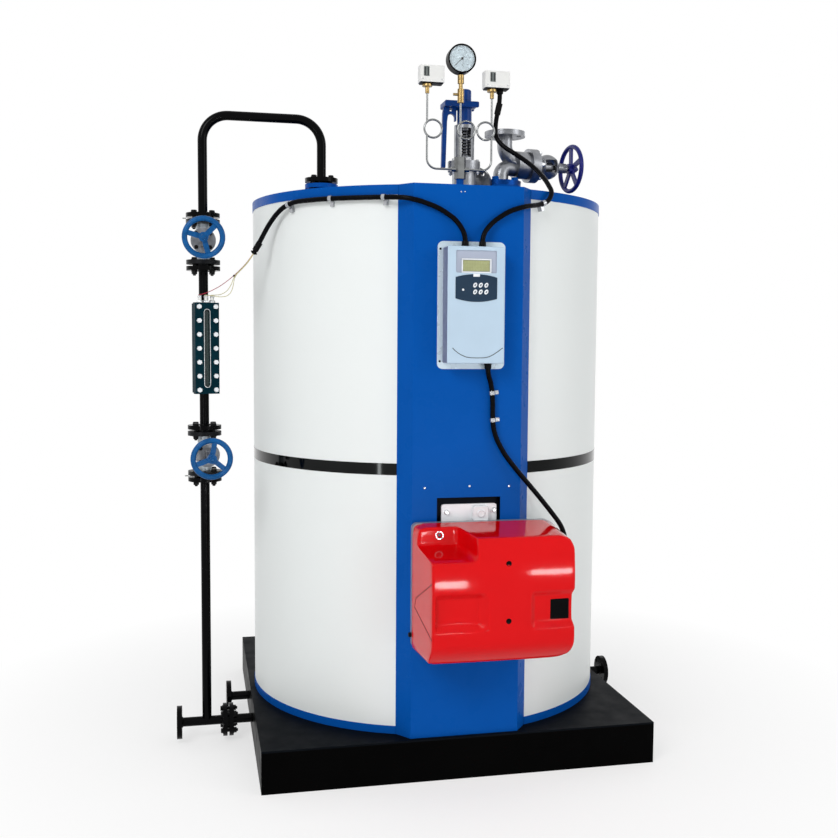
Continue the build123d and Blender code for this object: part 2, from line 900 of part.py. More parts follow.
def handwheel(seat, reach, radius, rim, hub, hub_length, spoke, spoke_thick, bore, spokes, first):
    """Round-rimmed handwheel with flat spokes, centred on the stem."""
    with BuildPart() as wheel:
        plane = on_seat(seat, Plane.YZ.offset(reach))
        with Locations(plane):
            Torus(radius - rim, rim)
        extrude(disc(plane.offset(-hub_length / 2), hub), amount=hub_length)
        with BuildSketch(plane.offset(-spoke_thick / 2)):
            with PolarLocations(0, spokes, start_angle=first):
                with Locations((radius / 2, 0)):
                    Rectangle(radius - rim, spoke)
            Circle(hub)
        extrude(amount=spoke_thick)
        extrude(disc(plane.offset(-hub_length), bore), amount=2 * hub_length, mode=Mode.SUBTRACT)
    return wheel


stem_bore = stem_radius + running_clearance
gauge_valves = (
    ("upper", upper_valve_z, 0.0, upper_wheel_set),
    ("lower", lower_valve_z, lower_valve_turn, lower_wheel_set),
)
for valve_name, valve_z, valve_turn, wheel_set in gauge_valves:
    seat = valve_seat(column_x, column_y, valve_z, valve_turn - 90)
    body = valve_body(
        seat, valve_length, valve_belly, valve_neck,
        bonnet_flange_radius, bonnet_flange_reach, bonnet_flange_thick,
    )
    write(body, f"{valve_name}_gauge_valve")
    yoke = valve_bonnet(
        seat, bonnet_flange_radius, bonnet_flange_reach, bonnet_flange_thick, yoke_reach,
        yoke_gap, yoke_arm, yoke_depth, yoke_cap, stem_radius, stem_end,
    )
    write(yoke, f"{valve_name}_valve_bonnet")
    wheel = handwheel(
        seat, wheel_reach, wheel_radius, wheel_rim, wheel_hub, wheel_hub_length,
        wheel_spoke, wheel_spoke_thick, stem_bore, 3, wheel_set,
    )
    write(wheel, f"{valve_name}_valve_wheel")

# Level column: arch from the crown, links at the gauge, and the drop to the tee
upper_face = upper_valve_z + valve_length / 2
nozzle_face = crown_top + crown_nozzle_rise + flange_thick
arch_points = [
    (column_x, column_y, upper_face + flange_thick),
    (column_x, column_y, arch_z),
    (crown_nozzle_x, column_y, arch_z),
    (crown_nozzle_x, column_y, nozzle_face + flange_thick),
]
arch_tube = tube_along(arch_points, pipe_radius, [arch_bend, arch_bend])
with BuildPart() as level_arch_pipe:
    add(arch_tube.part)
    low = Plane(origin=(column_x, column_y, upper_face))
    flange_disc(low, 1)
    seat = Plane(origin=(crown_nozzle_x, column_y, nozzle_face))
    flange_disc(seat, 1)
write(level_arch_pipe, "level_arch_pipe")

gauge_top = gauge_z + chamber_height / 2
gauge_low = gauge_z - chamber_height / 2
upper_low_face = upper_valve_z - valve_length / 2
lower_high_face = lower_valve_z + valve_length / 2
with BuildPart() as gauge_links:
    top = Plane(origin=(column_x, column_y, upper_low_face))
    flange_disc(top, -1)
    extrude(disc(top, pipe_radius), amount=gauge_top - upper_low_face)
    low = Plane(origin=(column_x, column_y, lower_high_face))
    flange_disc(low, 1)
    extrude(disc(low, pipe_radius), amount=gauge_low - lower_high_face)
write(gauge_links, "gauge_links")

gauge_seat = Location((column_x, column_y, gauge_z), (0, 0, gauge_turn))
gauge_front = on_seat(gauge_seat, front_plane(0, 0, 0))
chamber_face = chamber_depth / 2
with BuildPart() as level_gauge_chamber:
    back = gauge_front.offset(-chamber_face)
    extrude(slab(back, chamber_width, chamber_height), amount=chamber_depth)
    with BuildSketch(gauge_front.offset(chamber_face)):
        SlotOverall(sight_height, sight_width, rotation=90)
    extrude(amount=-chamber_bore, mode=Mode.SUBTRACT)
write(level_gauge_chamber, "level_gauge_chamber")

with BuildPart() as level_gauge_cover:
    seat = gauge_front.offset(chamber_face)
    extrude(slab(seat, cover_plate_width, cover_plate_height), amount=cover_plate_depth)
    with BuildSketch(seat):
        SlotOverall(sight_height, sight_width, rotation=90)
    extrude(amount=cover_plate_depth, mode=Mode.SUBTRACT)
write(level_gauge_cover, "level_gauge_cover")

with BuildPart() as level_glass:
    seat = gauge_front.offset(chamber_face)
    with BuildSketch(seat):
        SlotOverall(sight_height - 2 * glass_fit, sight_width - 2 * glass_fit, rotation=90)
    extrude(amount=glass_depth)
write(level_glass, "level_glass")

with BuildPart() as probe_terminals:
    top = on_seat(gauge_seat, Plane.XY.offset(cover_plate_height / 2))
    cover_centre = chamber_face + cover_plate_depth / 2
    with BuildSketch(top):
        with Locations((0, -cover_centre)):
            with GridLocations(terminal_pitch, 0, 3, 1):
                Circle(terminal_radius)
    extrude(amount=terminal_height)
write(probe_terminals, "probe_terminals")

lower_face = lower_valve_z - valve_length / 2
blow_down_face = -column_x + blow_down_reach
with BuildPart() as level_drop_pipe:
    top = Plane(origin=(column_x, column_y, lower_face))
    flange_disc(top, -1)
    extrude(disc(top, pipe_radius), amount=stub_z - lower_face)
    left = side_plane(-blow_down_face, column_y, stub_z, 1)
    right = side_plane(-tee_gap_face, column_y, stub_z, -1)
    run = blow_down_face - tee_gap_face
    extrude(disc(left, pipe_radius), amount=run)
    extrude(disc(left, flange_radius), amount=flange_thick)
    flange_disc(right, 1)
    with BuildSketch(left):
        Circle(pipe_bore)
        with PolarLocations(flange_pcd / 2, 4, start_angle=45):
            Circle(flange_hole)
    extrude(amount=flange_thick, mode=Mode.SUBTRACT)
write(level_drop_pipe, "level_drop_pipe")


# Stubs that come out of the plinth's sides, from under the deck
def plinth_stub(reach, y, sign, open_face):
    """A pipe from under the deck, out through the channel's web to a flange."""
    inside = plinth_half - channel_flange - pipe_radius - stub_lip_gap
    points = [
        (sign * (reach - flange_thick), y, stub_z),
        (sign * inside, y, stub_z),
        (sign * inside, y, channel_height),
    ]
    pipe = tube_along(points, pipe_radius, [stub_bend])
    with BuildPart() as stub:
        add(pipe.part)
        plane = side_plane(sign * reach, y, stub_z, -sign)
        if open_face:
            face = flange_face(plane, flange_radius, pipe_bore, flange_pcd, flange_hole)
            extrude(face, amount=flange_thick)
        else:
            flange_disc(plane, 1)
    return stub


blow_down_stub = plinth_stub(tee_gap_face, column_y, -1, False)
feed_stub = plinth_stub(feed_face, feed_y, -1, True)
drain_stub = plinth_stub(drain_face, drain_y, 1, True)
with BuildPart() as plinth_stubs:
    add(blow_down_stub.part)
    add(feed_stub.part)
    add(drain_stub.part)
write(plinth_stubs, "plinth_stubs")

# Painted nozzles on the crown
steam_inlet_z = steam_face_top - steam_length
with BuildPart() as crown_nozzles:
    level_nozzle = Plane(origin=(crown_nozzle_x, column_y, crown_top))
    extrude(disc(level_nozzle, pipe_radius), amount=crown_nozzle_rise)
    flange_disc(level_nozzle.offset(crown_nozzle_rise + flange_thick), -1)
    gauge_nozzle = Plane(origin=(manifold_x, manifold_y, crown_top))
    extrude(disc(gauge_nozzle, manifold_foot_radius), amount=manifold_foot_top - crown_top)
    safety_nozzle = Plane(origin=(safety_x, safety_y, crown_top))
    extrude(disc(safety_nozzle, safety_nozzle_radius), amount=safety_inlet_z - crown_top)
    steam_lean = math.radians(steam_turn)
    inlet_x = steam_x + steam_inlet_shift * math.cos(steam_lean)
    inlet_y = steam_y + steam_inlet_shift * math.sin(steam_lean)
    steam_nozzle = Plane(origin=(inlet_x, inlet_y, crown_top))
    extrude(disc(steam_nozzle, steam_neck), amount=steam_inlet_z - crown_top)
    under_flange = steam_nozzle.offset(steam_inlet_z - crown_top - steam_flange_thick)
    extrude(disc(under_flange, steam_flange_radius), amount=steam_flange_thick)
write(crown_nozzles, "crown_nozzles")

# Gauge tree: manifold, three siphon tubes, cock, gauge and two pressure switches
with BuildPart() as gauge_manifold:
    foot = Plane(origin=(manifold_x, manifold_y, manifold_foot_top))
    with BuildSketch(foot):
        RegularPolygon(manifold_flats / 2, 6, major_radius=False)
    extrude(amount=manifold_top - manifold_foot_top)
    for sign in (-1, 1):
        flat = side_plane(manifold_x, manifold_y, branch_z, sign)
        extrude(disc(flat, union_radius), amount=manifold_flats / 2 + union_length)
write(gauge_manifold, "gauge_manifold")

left_tube_top = left_switch_low - bellows_height - bellows_neck_height
right_tube_top = right_switch_low - bellows_height - bellows_neck_height
siphon_bends = []
for sign, tube_x in ((-1, left_tube_x), (1, right_tube_x)):
    siphon_points = [
        (manifold_x + sign * (manifold_flats / 2 + union_length), manifold_y, branch_z),
        (tube_x, manifold_y, branch_z),
        (tube_x, manifold_y, loop_z - loop_cut),
    ]
    siphon_bends.append(tube_along(siphon_points, tube_radius, [tube_bend]))
siphon_rises = (
    (left_tube_x, left_tube_x + loop_offset, left_tube_top),
    (manifold_x, manifold_x + loop_offset, cock_low),
    (right_tube_x, right_tube_x - loop_offset, right_tube_top),
)
with BuildPart() as siphon_tubes:
    for bend in siphon_bends:
        add(bend.part)
    middle_low = Plane(origin=(manifold_x, manifold_y, manifold_top))
    extrude(disc(middle_low, tube_radius), amount=loop_z - loop_cut - manifold_top)
    for rise_x, ring_x, rise_top in siphon_rises:
        rise = Plane(origin=(rise_x, manifold_y, loop_z + loop_cut))
        extrude(disc(rise, tube_radius), amount=rise_top - loop_z - loop_cut)
        with Locations(Plane(origin=(ring_x, manifold_y, loop_z), z_dir=(0, 1, 0))):
            Torus(loop_radius, tube_radius)
write(siphon_tubes, "siphon_tubes")

with BuildPart() as switch_bellows:
    for tube_x, switch_low in ((left_tube_x, left_switch_low), (right_tube_x, right_switch_low)):
        top = Plane(origin=(tube_x, manifold_y, switch_low))
        extrude(disc(top, bellows_radius), amount=-bellows_height)
        extrude(disc(top.offset(-bellows_height), bellows_neck), amount=-bellows_neck_height)
write(switch_bellows, "switch_bellows")


def switch_box(x, low, width):
    """A pressure switch's closed housing."""
    with BuildPart() as switch:
        with Locations((x, manifold_y, low)):
            Box(width, switch_depth, switch_height, align=(Align.CENTER, Align.CENTER, Align.MIN))
        fillet(switch.edges().filter_by(Axis.Z), switch_edge)
    return switch


write(switch_box(left_switch_x, left_switch_low, left_switch_width), "left_pressure_switch")
write(switch_box(right_switch_x, right_switch_low, right_switch_width), "right_pressure_switch")

with BuildPart() as gauge_cock:
    cock_height = cock_top - cock_low
    low = Plane(origin=(manifold_x, manifold_y, cock_low))
    extrude(disc(low, cock_waist), amount=cock_height)
    extrude(disc(low, cock_radius), amount=cock_height * cock_body_share)
    neck_rise = cock_height * cock_neck_share
    extrude(disc(low.offset(neck_rise), cock_radius), amount=cock_height - neck_rise)
    handle = side_plane(manifold_x, manifold_y, cock_low + cock_height * cock_handle_share, -1)
    extrude(disc(handle, cock_handle_radius), amount=cock_handle_length)
write(gauge_cock, "gauge_cock")

with BuildPart() as pressure_gauge:
    face = front_plane(manifold_x, manifold_y - gauge_case_depth / 2, gauge_centre_z)
    extrude(disc(face, gauge_radius), amount=-gauge_case_depth)
    extrude(disc(face, gauge_radius - gauge_bezel), amount=-dial_set, mode=Mode.SUBTRACT)
    with Locations((manifold_x, manifold_y, cock_top)):
        Box(4 * cock_radius, 2 * gauge_case_depth, 2 * overrun,
            align=(Align.CENTER, Align.CENTER, Align.MAX), mode=Mode.SUBTRACT)
    with BuildSketch(Plane(origin=(manifold_x, manifold_y, cock_top))):
        Circle(cock_waist)
    extrude(amount=gauge_bezel + cock_waist)
write(pressure_gauge, "pressure_gauge")

with BuildPart() as gauge_dial:
    face = front_plane(manifold_x, manifold_y - gauge_case_depth / 2 + dial_set, gauge_centre_z)
    extrude(disc(face, gauge_radius - gauge_bezel - glass_fit), amount=dial_thick)
write(gauge_dial, "gauge_dial")

# Safety valve: body, windowed yoke, spring, capped bonnet and lifting lever
with BuildPart() as safety_valve_body:
    inlet = Plane(origin=(safety_x, safety_y, safety_inlet_z))
    body_height = safety_flange_z - safety_inlet_z
    extrude(disc(inlet, safety_body_radius), amount=body_height)
    extrude(disc(inlet.offset(body_height), safety_flange_radius), amount=safety_flange_thick / 2)
    branch_seat = valve_seat(safety_x, safety_y, safety_outlet_z, safety_outlet_turn)
    branch = on_seat(branch_seat, Plane.YZ)
    extrude(disc(branch, safety_outlet_radius), amount=safety_outlet_reach)
    outlet = branch.offset(safety_outlet_reach)
    outlet_face = flange_face(
        outlet, safety_outlet_flange, safety_outlet_bore, safety_outlet_pcd, safety_outlet_hole,
    )
    extrude(outlet_face, amount=-flange_thick)
    extrude(disc(outlet, safety_outlet_bore), amount=-safety_outlet_reach / 2, mode=Mode.SUBTRACT)
write(safety_valve_body, "safety_valve_body")

yoke_low = safety_flange_z + safety_flange_thick / 2
window_rise = yoke_window_high - yoke_window_low
with BuildPart() as safety_valve_yoke:
    foot = Plane(origin=(safety_x, safety_y, yoke_low))
    extrude(disc(foot, safety_flange_radius), amount=safety_flange_thick / 2)
    extrude(disc(foot, yoke_radius), amount=yoke_top - yoke_low)
    inside = Plane(origin=(safety_x, safety_y, yoke_window_low))
    extrude(disc(inside, yoke_bore), amount=window_rise, mode=Mode.SUBTRACT)
    with Locations((safety_x, safety_y, (yoke_window_low + yoke_window_high) / 2)):
        Box(yoke_window_width, 4 * yoke_radius, window_rise, mode=Mode.SUBTRACT)
write(safety_valve_yoke, "safety_valve_yoke")

with BuildPart() as safety_valve_spring:
    spindle = Plane(origin=(safety_x, safety_y, yoke_window_low))
    extrude(disc(spindle, spring_core), amount=window_rise)
    for seat_z in (yoke_window_low, yoke_window_high - 2 * spring_wire):
        seat_plane = Plane(origin=(safety_x, safety_y, seat_z))
        extrude(disc(seat_plane, spring_seat), amount=2 * spring_wire)
    coil_low = yoke_window_low + spring_wire
    coil_rise = window_rise - 2 * spring_wire
    coil_pitch = coil_rise / spring_turns
    with BuildLine() as coil:
        Helix(coil_pitch, coil_rise, spring_radius - spring_wire, center=(safety_x, safety_y, coil_low))
    with BuildSketch(Plane(origin=coil.line @ 0, z_dir=coil.line % 0)):
        Circle(spring_wire)
    sweep(path=coil.line, is_frenet=True)
write(safety_valve_spring, "safety_valve_spring")

with BuildPart() as safety_valve_cap:
    foot = Plane(origin=(safety_x, safety_y, yoke_top))
    extrude(disc(foot, bonnet_radius), amount=bonnet_top - yoke_top)
    extrude(disc(foot, cap_radius), amount=cap_top - yoke_top)
    fillet(safety_valve_cap.faces().sort_by(Axis.Z)[-1].edges(), cap_round)
    ear = front_plane(safety_x + pivot_x / 2, safety_y - ear_half, pivot_z)
    extrude(slab(ear, pivot_x, ear_height), amount=-2 * ear_half)
    boss = front_plane(safety_x + pivot_x, safety_y - ear_half, pivot_z)
    extrude(disc(boss, ear_height / 2), amount=-2 * ear_half)
    pin_half = lever_gap + lever_cheek
    pin = front_plane(safety_x + pivot_x, safety_y - pin_half, pivot_z)
    extrude(disc(pin, pivot_radius), amount=-2 * pin_half)
write(safety_valve_cap, "safety_valve_cap")

def lever_point(across, down):
    """A point of the lever's outline on its middle plane."""
    return (safety_x + across, pivot_z - down)


with BuildPart() as safety_lever:
    fork_half = lever_gap + lever_cheek
    fork_right = pivot_x + lever_height / 2
    fork_z = pivot_z - lever_height / 2
    fork_face = front_plane(safety_x + (lever_left + fork_right) / 2, safety_y - fork_half, pivot_z)
    extrude(slab(fork_face, fork_right - lever_left, lever_height, lever_corner), amount=-2 * fork_half)
    cut_left = lever_left + lever_bridge
    cut_right = fork_right + overrun
    cut = Plane(origin=(safety_x + (cut_left + cut_right) / 2, safety_y, fork_z))
    cut_face = slab(cut, cut_right - cut_left, 2 * lever_gap)
    extrude(cut_face, amount=lever_height, mode=Mode.SUBTRACT)
    outer = [lever_point(*point) for point in lever_outer]
    arch = [lever_point(*point) for point in lever_arch]
    inner = [lever_point(*point) for point in lever_inner]
    with BuildSketch(front_plane(0, safety_y - lever_thick / 2, 0)):
        with BuildLine():
            Polyline(*outer, arch[0])
            ThreePointArc(*arch)
            Polyline(arch[-1], *inner, outer[0])
        make_face()
        with Locations(lever_point(lever_hole_x, lever_hole_drop)):
            Circle(lever_hole_radius, mode=Mode.SUBTRACT)
    extrude(amount=-lever_thick)
    pin = front_plane(safety_x + pivot_x, safety_y - 2 * fork_half, pivot_z)
    extrude(disc(pin, pivot_radius + running_clearance), amount=-4 * fork_half, mode=Mode.SUBTRACT)
write(safety_lever, "safety_lever")

# Steam stop valve: two flanged necks that turn into the chamber, a bell-shaped yoke, and a level stem
steam_z = steam_face_top - steam_length / 2 - steam_stem_drop
steam_seat = valve_seat(steam_x, steam_y, steam_z, steam_turn)
steam_side = on_seat(steam_seat, Plane.YZ)
steam_high = steam_face_top - steam_z
steam_low = steam_high - steam_length
half_flange = steam_flange_thick / 2


def on_stem(reach, rise):
    """A point in the upright plane through the stem."""
    return (steam_seat * Location((reach, 0, rise))).position


chamber_middle = steam_chamber_start + steam_neck
outlet_neck = tube_along(
    [on_stem(0, steam_high - half_flange), on_stem(0, steam_neck), on_stem(chamber_middle, 0)],
    steam_neck, [steam_neck_bend],
)
inlet_neck = tube_along(
    [
        on_stem(steam_inlet_shift, steam_low + half_flange),
        on_stem(steam_inlet_shift, -steam_neck / 2),
        on_stem(chamber_middle, -steam_neck / 2),
    ],
    steam_neck, [steam_neck],
)
with BuildPart() as steam_valve_body:
    add(outlet_neck.part)
    add(inlet_neck.part)
    chamber = steam_side.offset(steam_chamber_start)
    extrude(disc(chamber, steam_chamber), amount=steam_bonnet_reach - steam_chamber_start)
    extrude(disc(steam_side.offset(steam_bonnet_reach), steam_bonnet_radius), amount=steam_bonnet_thick / 2)
    outlet = Plane(origin=on_stem(0, steam_high), x_dir=steam_side.z_dir)
    outlet_face = flange_face(
        outlet, steam_flange_radius, steam_bore, steam_flange_pcd, steam_flange_hole,
    )
    extrude(disc(outlet.offset(-half_flange), steam_neck), amount=half_flange)
    extrude(outlet_face, amount=-steam_flange_thick)
    inlet = Plane(origin=on_stem(steam_inlet_shift, steam_low))
    extrude(disc(inlet, steam_flange_radius), amount=steam_flange_thick)
    extrude(disc(outlet, steam_bore), amount=-steam_port_depth, mode=Mode.SUBTRACT)
write(steam_valve_body, "steam_valve_body")

with BuildPart() as steam_valve_bonnet:
    bonnet_joint = steam_side.offset(steam_bonnet_reach + steam_bonnet_thick / 2)
    with Locations(steam_side.offset(steam_bell_reach)):
        Sphere(steam_bell_radius)
        Sphere(steam_bell_radius - steam_bell_wall, mode=Mode.SUBTRACT)
    window = on_seat(steam_seat, Plane.XZ).offset(-2 * steam_bell_radius)
    window = Plane(origin=window.origin, x_dir=steam_side.z_dir, z_dir=window.z_dir)
    with BuildSketch(window):
        with Locations((steam_bell_reach, 0)):
            Rectangle(steam_bell_window, steam_bell_window)
    extrude(amount=4 * steam_bell_radius, mode=Mode.SUBTRACT)
    extrude(disc(bonnet_joint, steam_bonnet_radius), amount=steam_bonnet_thick / 2)
    extrude(disc(bonnet_joint, steam_collar_radius), amount=steam_bell_reach - steam_bonnet_reach)
    bell_end = steam_side.offset(steam_bell_reach + steam_bell_radius - steam_bell_wall)
    collar_length = steam_collar_reach - steam_bell_reach - steam_bell_radius + steam_bell_wall
    extrude(disc(bell_end, steam_collar_radius), amount=collar_length)
    stem_length = steam_stem_end - steam_bonnet_reach - steam_bonnet_thick / 2
    extrude(disc(bonnet_joint, steam_stem), amount=stem_length)
write(steam_valve_bonnet, "steam_valve_bonnet")

wheel = handwheel(
    steam_seat, steam_wheel_reach, steam_wheel_radius, steam_wheel_rim, steam_wheel_hub,
    steam_wheel_hub_length, steam_wheel_spoke, steam_wheel_spoke_thick,
    steam_stem + running_clearance, 5, steam_wheel_set,
)
write(wheel, "steam_valve_wheel")

# Flue outlet on the hidden side
with BuildPart() as flue_outlet:
    mouth = Plane(origin=(0, flue_reach, flue_z), x_dir=(1, 0, 0), z_dir=(0, -1, 0))
    flue_length = flue_reach - casing_bore + overrun
    extrude(flange_face(mouth, flue_flange_radius, flue_radius - flue_sheet), amount=flue_flange_thick)
    extrude(flange_face(mouth, flue_radius, flue_radius - flue_sheet), amount=flue_length)
write(flue_outlet, "flue_outlet")


# Conduits, each whole between its housings, the clips that hold them, and the probe wires
def on_front(x, out, drop):
    """A point off the pilaster's front."""
    return (x, pilaster_y - out, crown_top - drop)


def on_casing(side, along, out, drop):
    """A point off the round casing, to the left (-1) or right (1) of the pilaster."""
    angle = math.asin(pilaster_foot_half / casing_radius) + along / casing_radius
    radius = casing_radius + out
    return (side * radius * math.sin(angle), -radius * math.cos(angle), crown_top - drop)


controller_high = controller_z + housing_height / 2
controller_low = controller_z - housing_height / 2
level_route = [on_front(*point) for point in level_front]
level_route += [on_casing(-1, *point) for point in level_round]
level_route.insert(0, (level_route[0][0], level_route[0][1], controller_high))
switch_route = [
    (right_switch_x + across, manifold_y + back, right_switch_low - down)
    for across, back, down in switch_drop
]
switch_route += [on_casing(1, *point) for point in switch_round]
switch_route += [on_front(*point) for point in switch_front]
switch_route.append((switch_route[-1][0], switch_route[-1][1], controller_high))
burner_route = [on_front(*point) for point in burner_front]
burner_route.insert(0, (burner_route[0][0], burner_route[0][1], controller_low))
gland_x = cover_right + cover_draft_right
burner_route.append((gland_x, burner_route[-1][1], burner_route[-1][2]))
routes = (("level", level_route), ("switch", switch_route), ("burner", burner_route))
for route_name, route in routes:
    conduit = tube_along(route, conduit_radius)
    write(conduit, f"{route_name}_conduit")


def clip_face(start, end, outward, stand_off):
    """A clip's section round the middle of a run: a ring with a foot on the wall behind it."""
    middle = (Vector(start) + Vector(end)) / 2
    along = (Vector(end) - Vector(start)).normalized()
    inner = conduit_radius + clip_clearance
    lean = abs(Vector(outward).dot(along)) * clip_width / 2
    foot_thick = stand_off - lean - inner
    with BuildSketch(Plane(origin=middle, x_dir=outward, z_dir=along), mode=Mode.PRIVATE) as face:
        Circle(inner + clip_thick)
        with Locations((-inner - foot_thick / 2, -clip_foot / 2)):
            Rectangle(foot_thick, clip_foot)
        Circle(inner, mode=Mode.SUBTRACT)
    return face.sketch


def wall_clip(route, run):
    """A clip on the round casing."""
    start, end = route[run], route[run + 1]
    middle = (Vector(start) + Vector(end)) / 2
    flat = Vector(middle.X, middle.Y, 0)
    return clip_face(start, end, flat.normalized(), flat.length - casing_radius - wall_gap)


def front_clip(route, run):
    """A clip on the pilaster's front."""
    start, end = route[run], route[run + 1]
    stand_off = pilaster_y - (start[1] + end[1]) / 2
    return clip_face(start, end, Vector(0, -1, 0), stand_off)


clip_sections = [wall_clip(level_route, run) for run in (6, 8, 10)]
clip_sections += [wall_clip(switch_route, 9)]
clip_sections += [front_clip(burner_route, run) for run in (2, 4)]
with BuildPart() as conduit_clips:
    for section in clip_sections:
        extrude(section, amount=clip_width / 2, both=True)
write(conduit_clips, "conduit_clips")

wire_top = gauge_z + cover_plate_height / 2
wire_end_z = terminal_height + wire_radius + wire_rest
wires = (("red", wire_red, red_end), ("near", wire_near, near_end), ("far", wire_far, far_end))
for wire_name, way, end in wires:
    points = [(column_x + x, column_y + y, wire_top + z) for x, y, z in way + [(*end, wire_end_z)]]
    wire = tube_along(points, wire_radius)
    write(wire, f"{wire_name}_probe_wire")
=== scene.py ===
import json
import math

import bmesh
import bpy
from mathutils import Matrix, Vector


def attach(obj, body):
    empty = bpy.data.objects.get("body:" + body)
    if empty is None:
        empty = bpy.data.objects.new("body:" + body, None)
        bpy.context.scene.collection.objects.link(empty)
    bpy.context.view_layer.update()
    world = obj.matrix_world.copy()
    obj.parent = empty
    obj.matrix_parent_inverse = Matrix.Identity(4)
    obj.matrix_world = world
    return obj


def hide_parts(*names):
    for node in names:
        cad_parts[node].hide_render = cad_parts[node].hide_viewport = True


bl_info = {
    "name": "Steam generator dressing",
    "version": (1, 0, 0),
    "blender": (4, 5, 0),
    "location": "View3D > Sidebar > Steam generator",
    "description": "Finishes, fasteners and small fittings for a vertical steam generator",
    "category": "Object",
}

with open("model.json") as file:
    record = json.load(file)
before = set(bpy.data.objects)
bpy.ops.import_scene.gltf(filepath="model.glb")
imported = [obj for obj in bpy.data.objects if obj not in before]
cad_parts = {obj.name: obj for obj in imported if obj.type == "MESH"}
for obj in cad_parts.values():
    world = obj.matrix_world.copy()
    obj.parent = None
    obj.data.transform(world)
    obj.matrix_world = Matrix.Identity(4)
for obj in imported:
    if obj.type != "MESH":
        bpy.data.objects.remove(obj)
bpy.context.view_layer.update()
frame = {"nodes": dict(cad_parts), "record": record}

# Camera of the photograph, in pixels, degrees and metres; its sensor in millimetres
IMAGE_SIDE = 838
SENSOR = 36.0
FOCAL_PIXELS = 1073.238
CAMERA_PLACE = (-0.855108, -3.981153, 1.438248)
CAMERA_TURN = -12.684
CAMERA_DOWN = 4.209
CAMERA_ROLL = 0.426
MIDDLE_PIXEL = (435.082, 416.425)

# Softboxes: place, target, width, height and power
LAMPS = {
    "key": ((-3.4, -4.4, 4.6), (0, 0, 1.1), 2.4, 2.4, 150),
    "fill": ((4.2, -3.6, 3.0), (0, 0, 1.0), 2.4, 2.4, 60),
    "back_left": ((-4.2, 4.4, 3.6), (0, 0, 1.1), 2.4, 2.4, 25),
    "back_right": ((4.0, 4.6, 3.8), (0, 0, 1.1), 2.4, 2.4, 25),
    "low_right": ((1.66, -4.5, 0.42), (0.2, -0.9, 0.7), 0.5, 0.12, 9),
    "low_middle": ((0.50, -4.5, 0.22), (-0.1, -0.9, 0.7), 0.34, 0.14, 7.5),
    "strip_left": ((-2.7, -3.4, 0.95), (-0.3, -0.4, 1.0), 0.14, 1.5, 11),
}
# The white world: its light on the object, and its strength where it is seen
WORLD_LIGHT, WORLD_SEEN = 0.4, 1.0
# The floor: half its width, how white it is near the object, and where it runs out into white
FLOOR_REACH = 40.0
FLOOR_WHITE = 0.6
FLOOR_NEAR, FLOOR_FAR = 0.8, 1.9

BOILER = "boiler"
FRONT = Vector((0, -1, 0))
RIGHT = Vector((1, 0, 0))
LEFT = Vector((-1, 0, 0))
UP = Vector((0, 0, 1))
DOWN = Vector((0, 0, -1))

# Places that the solids give, in metres
COLUMN = Vector((-0.820, -0.158, 0))
COLUMN_JOINTS = (1.840, 1.680, 1.110, 0.950)
UPPER_VALVE, LOWER_VALVE, GAUGE_MIDDLE = 1.760, 1.030, 1.395
LOWER_TURN = math.radians(6)
LOWER_WAY = Vector((math.sin(LOWER_TURN), -math.cos(LOWER_TURN), 0))
GAUGE_TURN = math.radians(15)
GAUGE_WAY = Vector((math.sin(GAUGE_TURN), -math.cos(GAUGE_TURN), 0))
STEAM_AXIS = Vector((0.275, -0.100, 0))
STEAM_INLET, STEAM_STEM = 1.996, 2.080
STEM_TURN = math.radians(9)
STEM_WAY = Vector((math.cos(STEM_TURN), math.sin(STEM_TURN), 0))
SAFETY_AXIS = Vector((0.095, -0.200, 0))
SAFETY_JOINT = 2.047
MANIFOLD = Vector((0.036, -0.380, 0))
CASING_RADIUS = 0.640
BAND_MIDDLE = 1.013
SEAM_TURN = math.radians(60)
# Front faces of the solids, in millimetres
PILASTER_FACE, PLATE_FACE, BACK_PLATE_FACE, CONTROLLER_FACE, SWITCH_FACE = -655, -641, -659, -720, -402

# Moulded burner cover, in millimetres: its foremost plane, its step's plane, its depth and the lines of its cage
COVER_FACE = -900
COVER_STEP = -740
COVER_DEPTH = 214.6
COVER_ACROSS = (-164, -157, -154, -149, -146, -115, -85, -58, -47, -24, -20, -17, 9, 12, 40, 73, 105, 142, 145, 158,
                161, 200, 238, 258, 271, 280, 288)
COVER_UP = (438, 446, 466, 486, 506, 530, 549, 552, 569, 572, 610, 648, 651, 667, 670, 700, 730, 757, 765, 786, 794,
            812, 825, 832)
# Depths of the cover's two pockets, and its draft over its depth at the left, right, foot and top
LEFT_POCKET, RIGHT_POCKET = 18, 13
LEFT_DRAFT, RIGHT_DRAFT, FOOT_DRAFT, TOP_DRAFT = 20, 8, 8, 18
# How far its face leans back at the top, rolls in at the foot and bows at the sides, and its waist at the right
TOP_LEAN, FOOT_ROLL, SIDE_BOW, WAIST_DEPTH = 16, 54, 5, 7
# Corners of the cover's outline: the middle of each round and the way that it looks
COVER_CORNERS = ((242, 786, 1, 1), (236, 490, 1, -1), (-146, 814, -1, 1), (-146, 456, -1, -1))

COAT_ROUGH = 0.06
# Edges sharper than this stay hard
SMOOTH_ANGLE = math.radians(35)
# How far hexagons are turned at random
HEX_TURN = math.pi / 3
FASTENER_SEED = 7


def linear(red, green, blue):
    """A colour written in display values, 0 to 255, as the linear values that shaders take."""
    def one(value):
        value /= 255
        return value / 12.92 if value <= 0.04045 else ((value + 0.055) / 1.055) ** 2.4

    return (one(red), one(green), one(blue))


def mm(*values):
    """A place given in millimetres."""
    return Vector(values) / 1000


def polar(radius, angle, reach=0.0):
    """A point on a circle about Z, so far along it."""
    return Vector((radius * math.cos(angle), radius * math.sin(angle), reach))


# Finishes


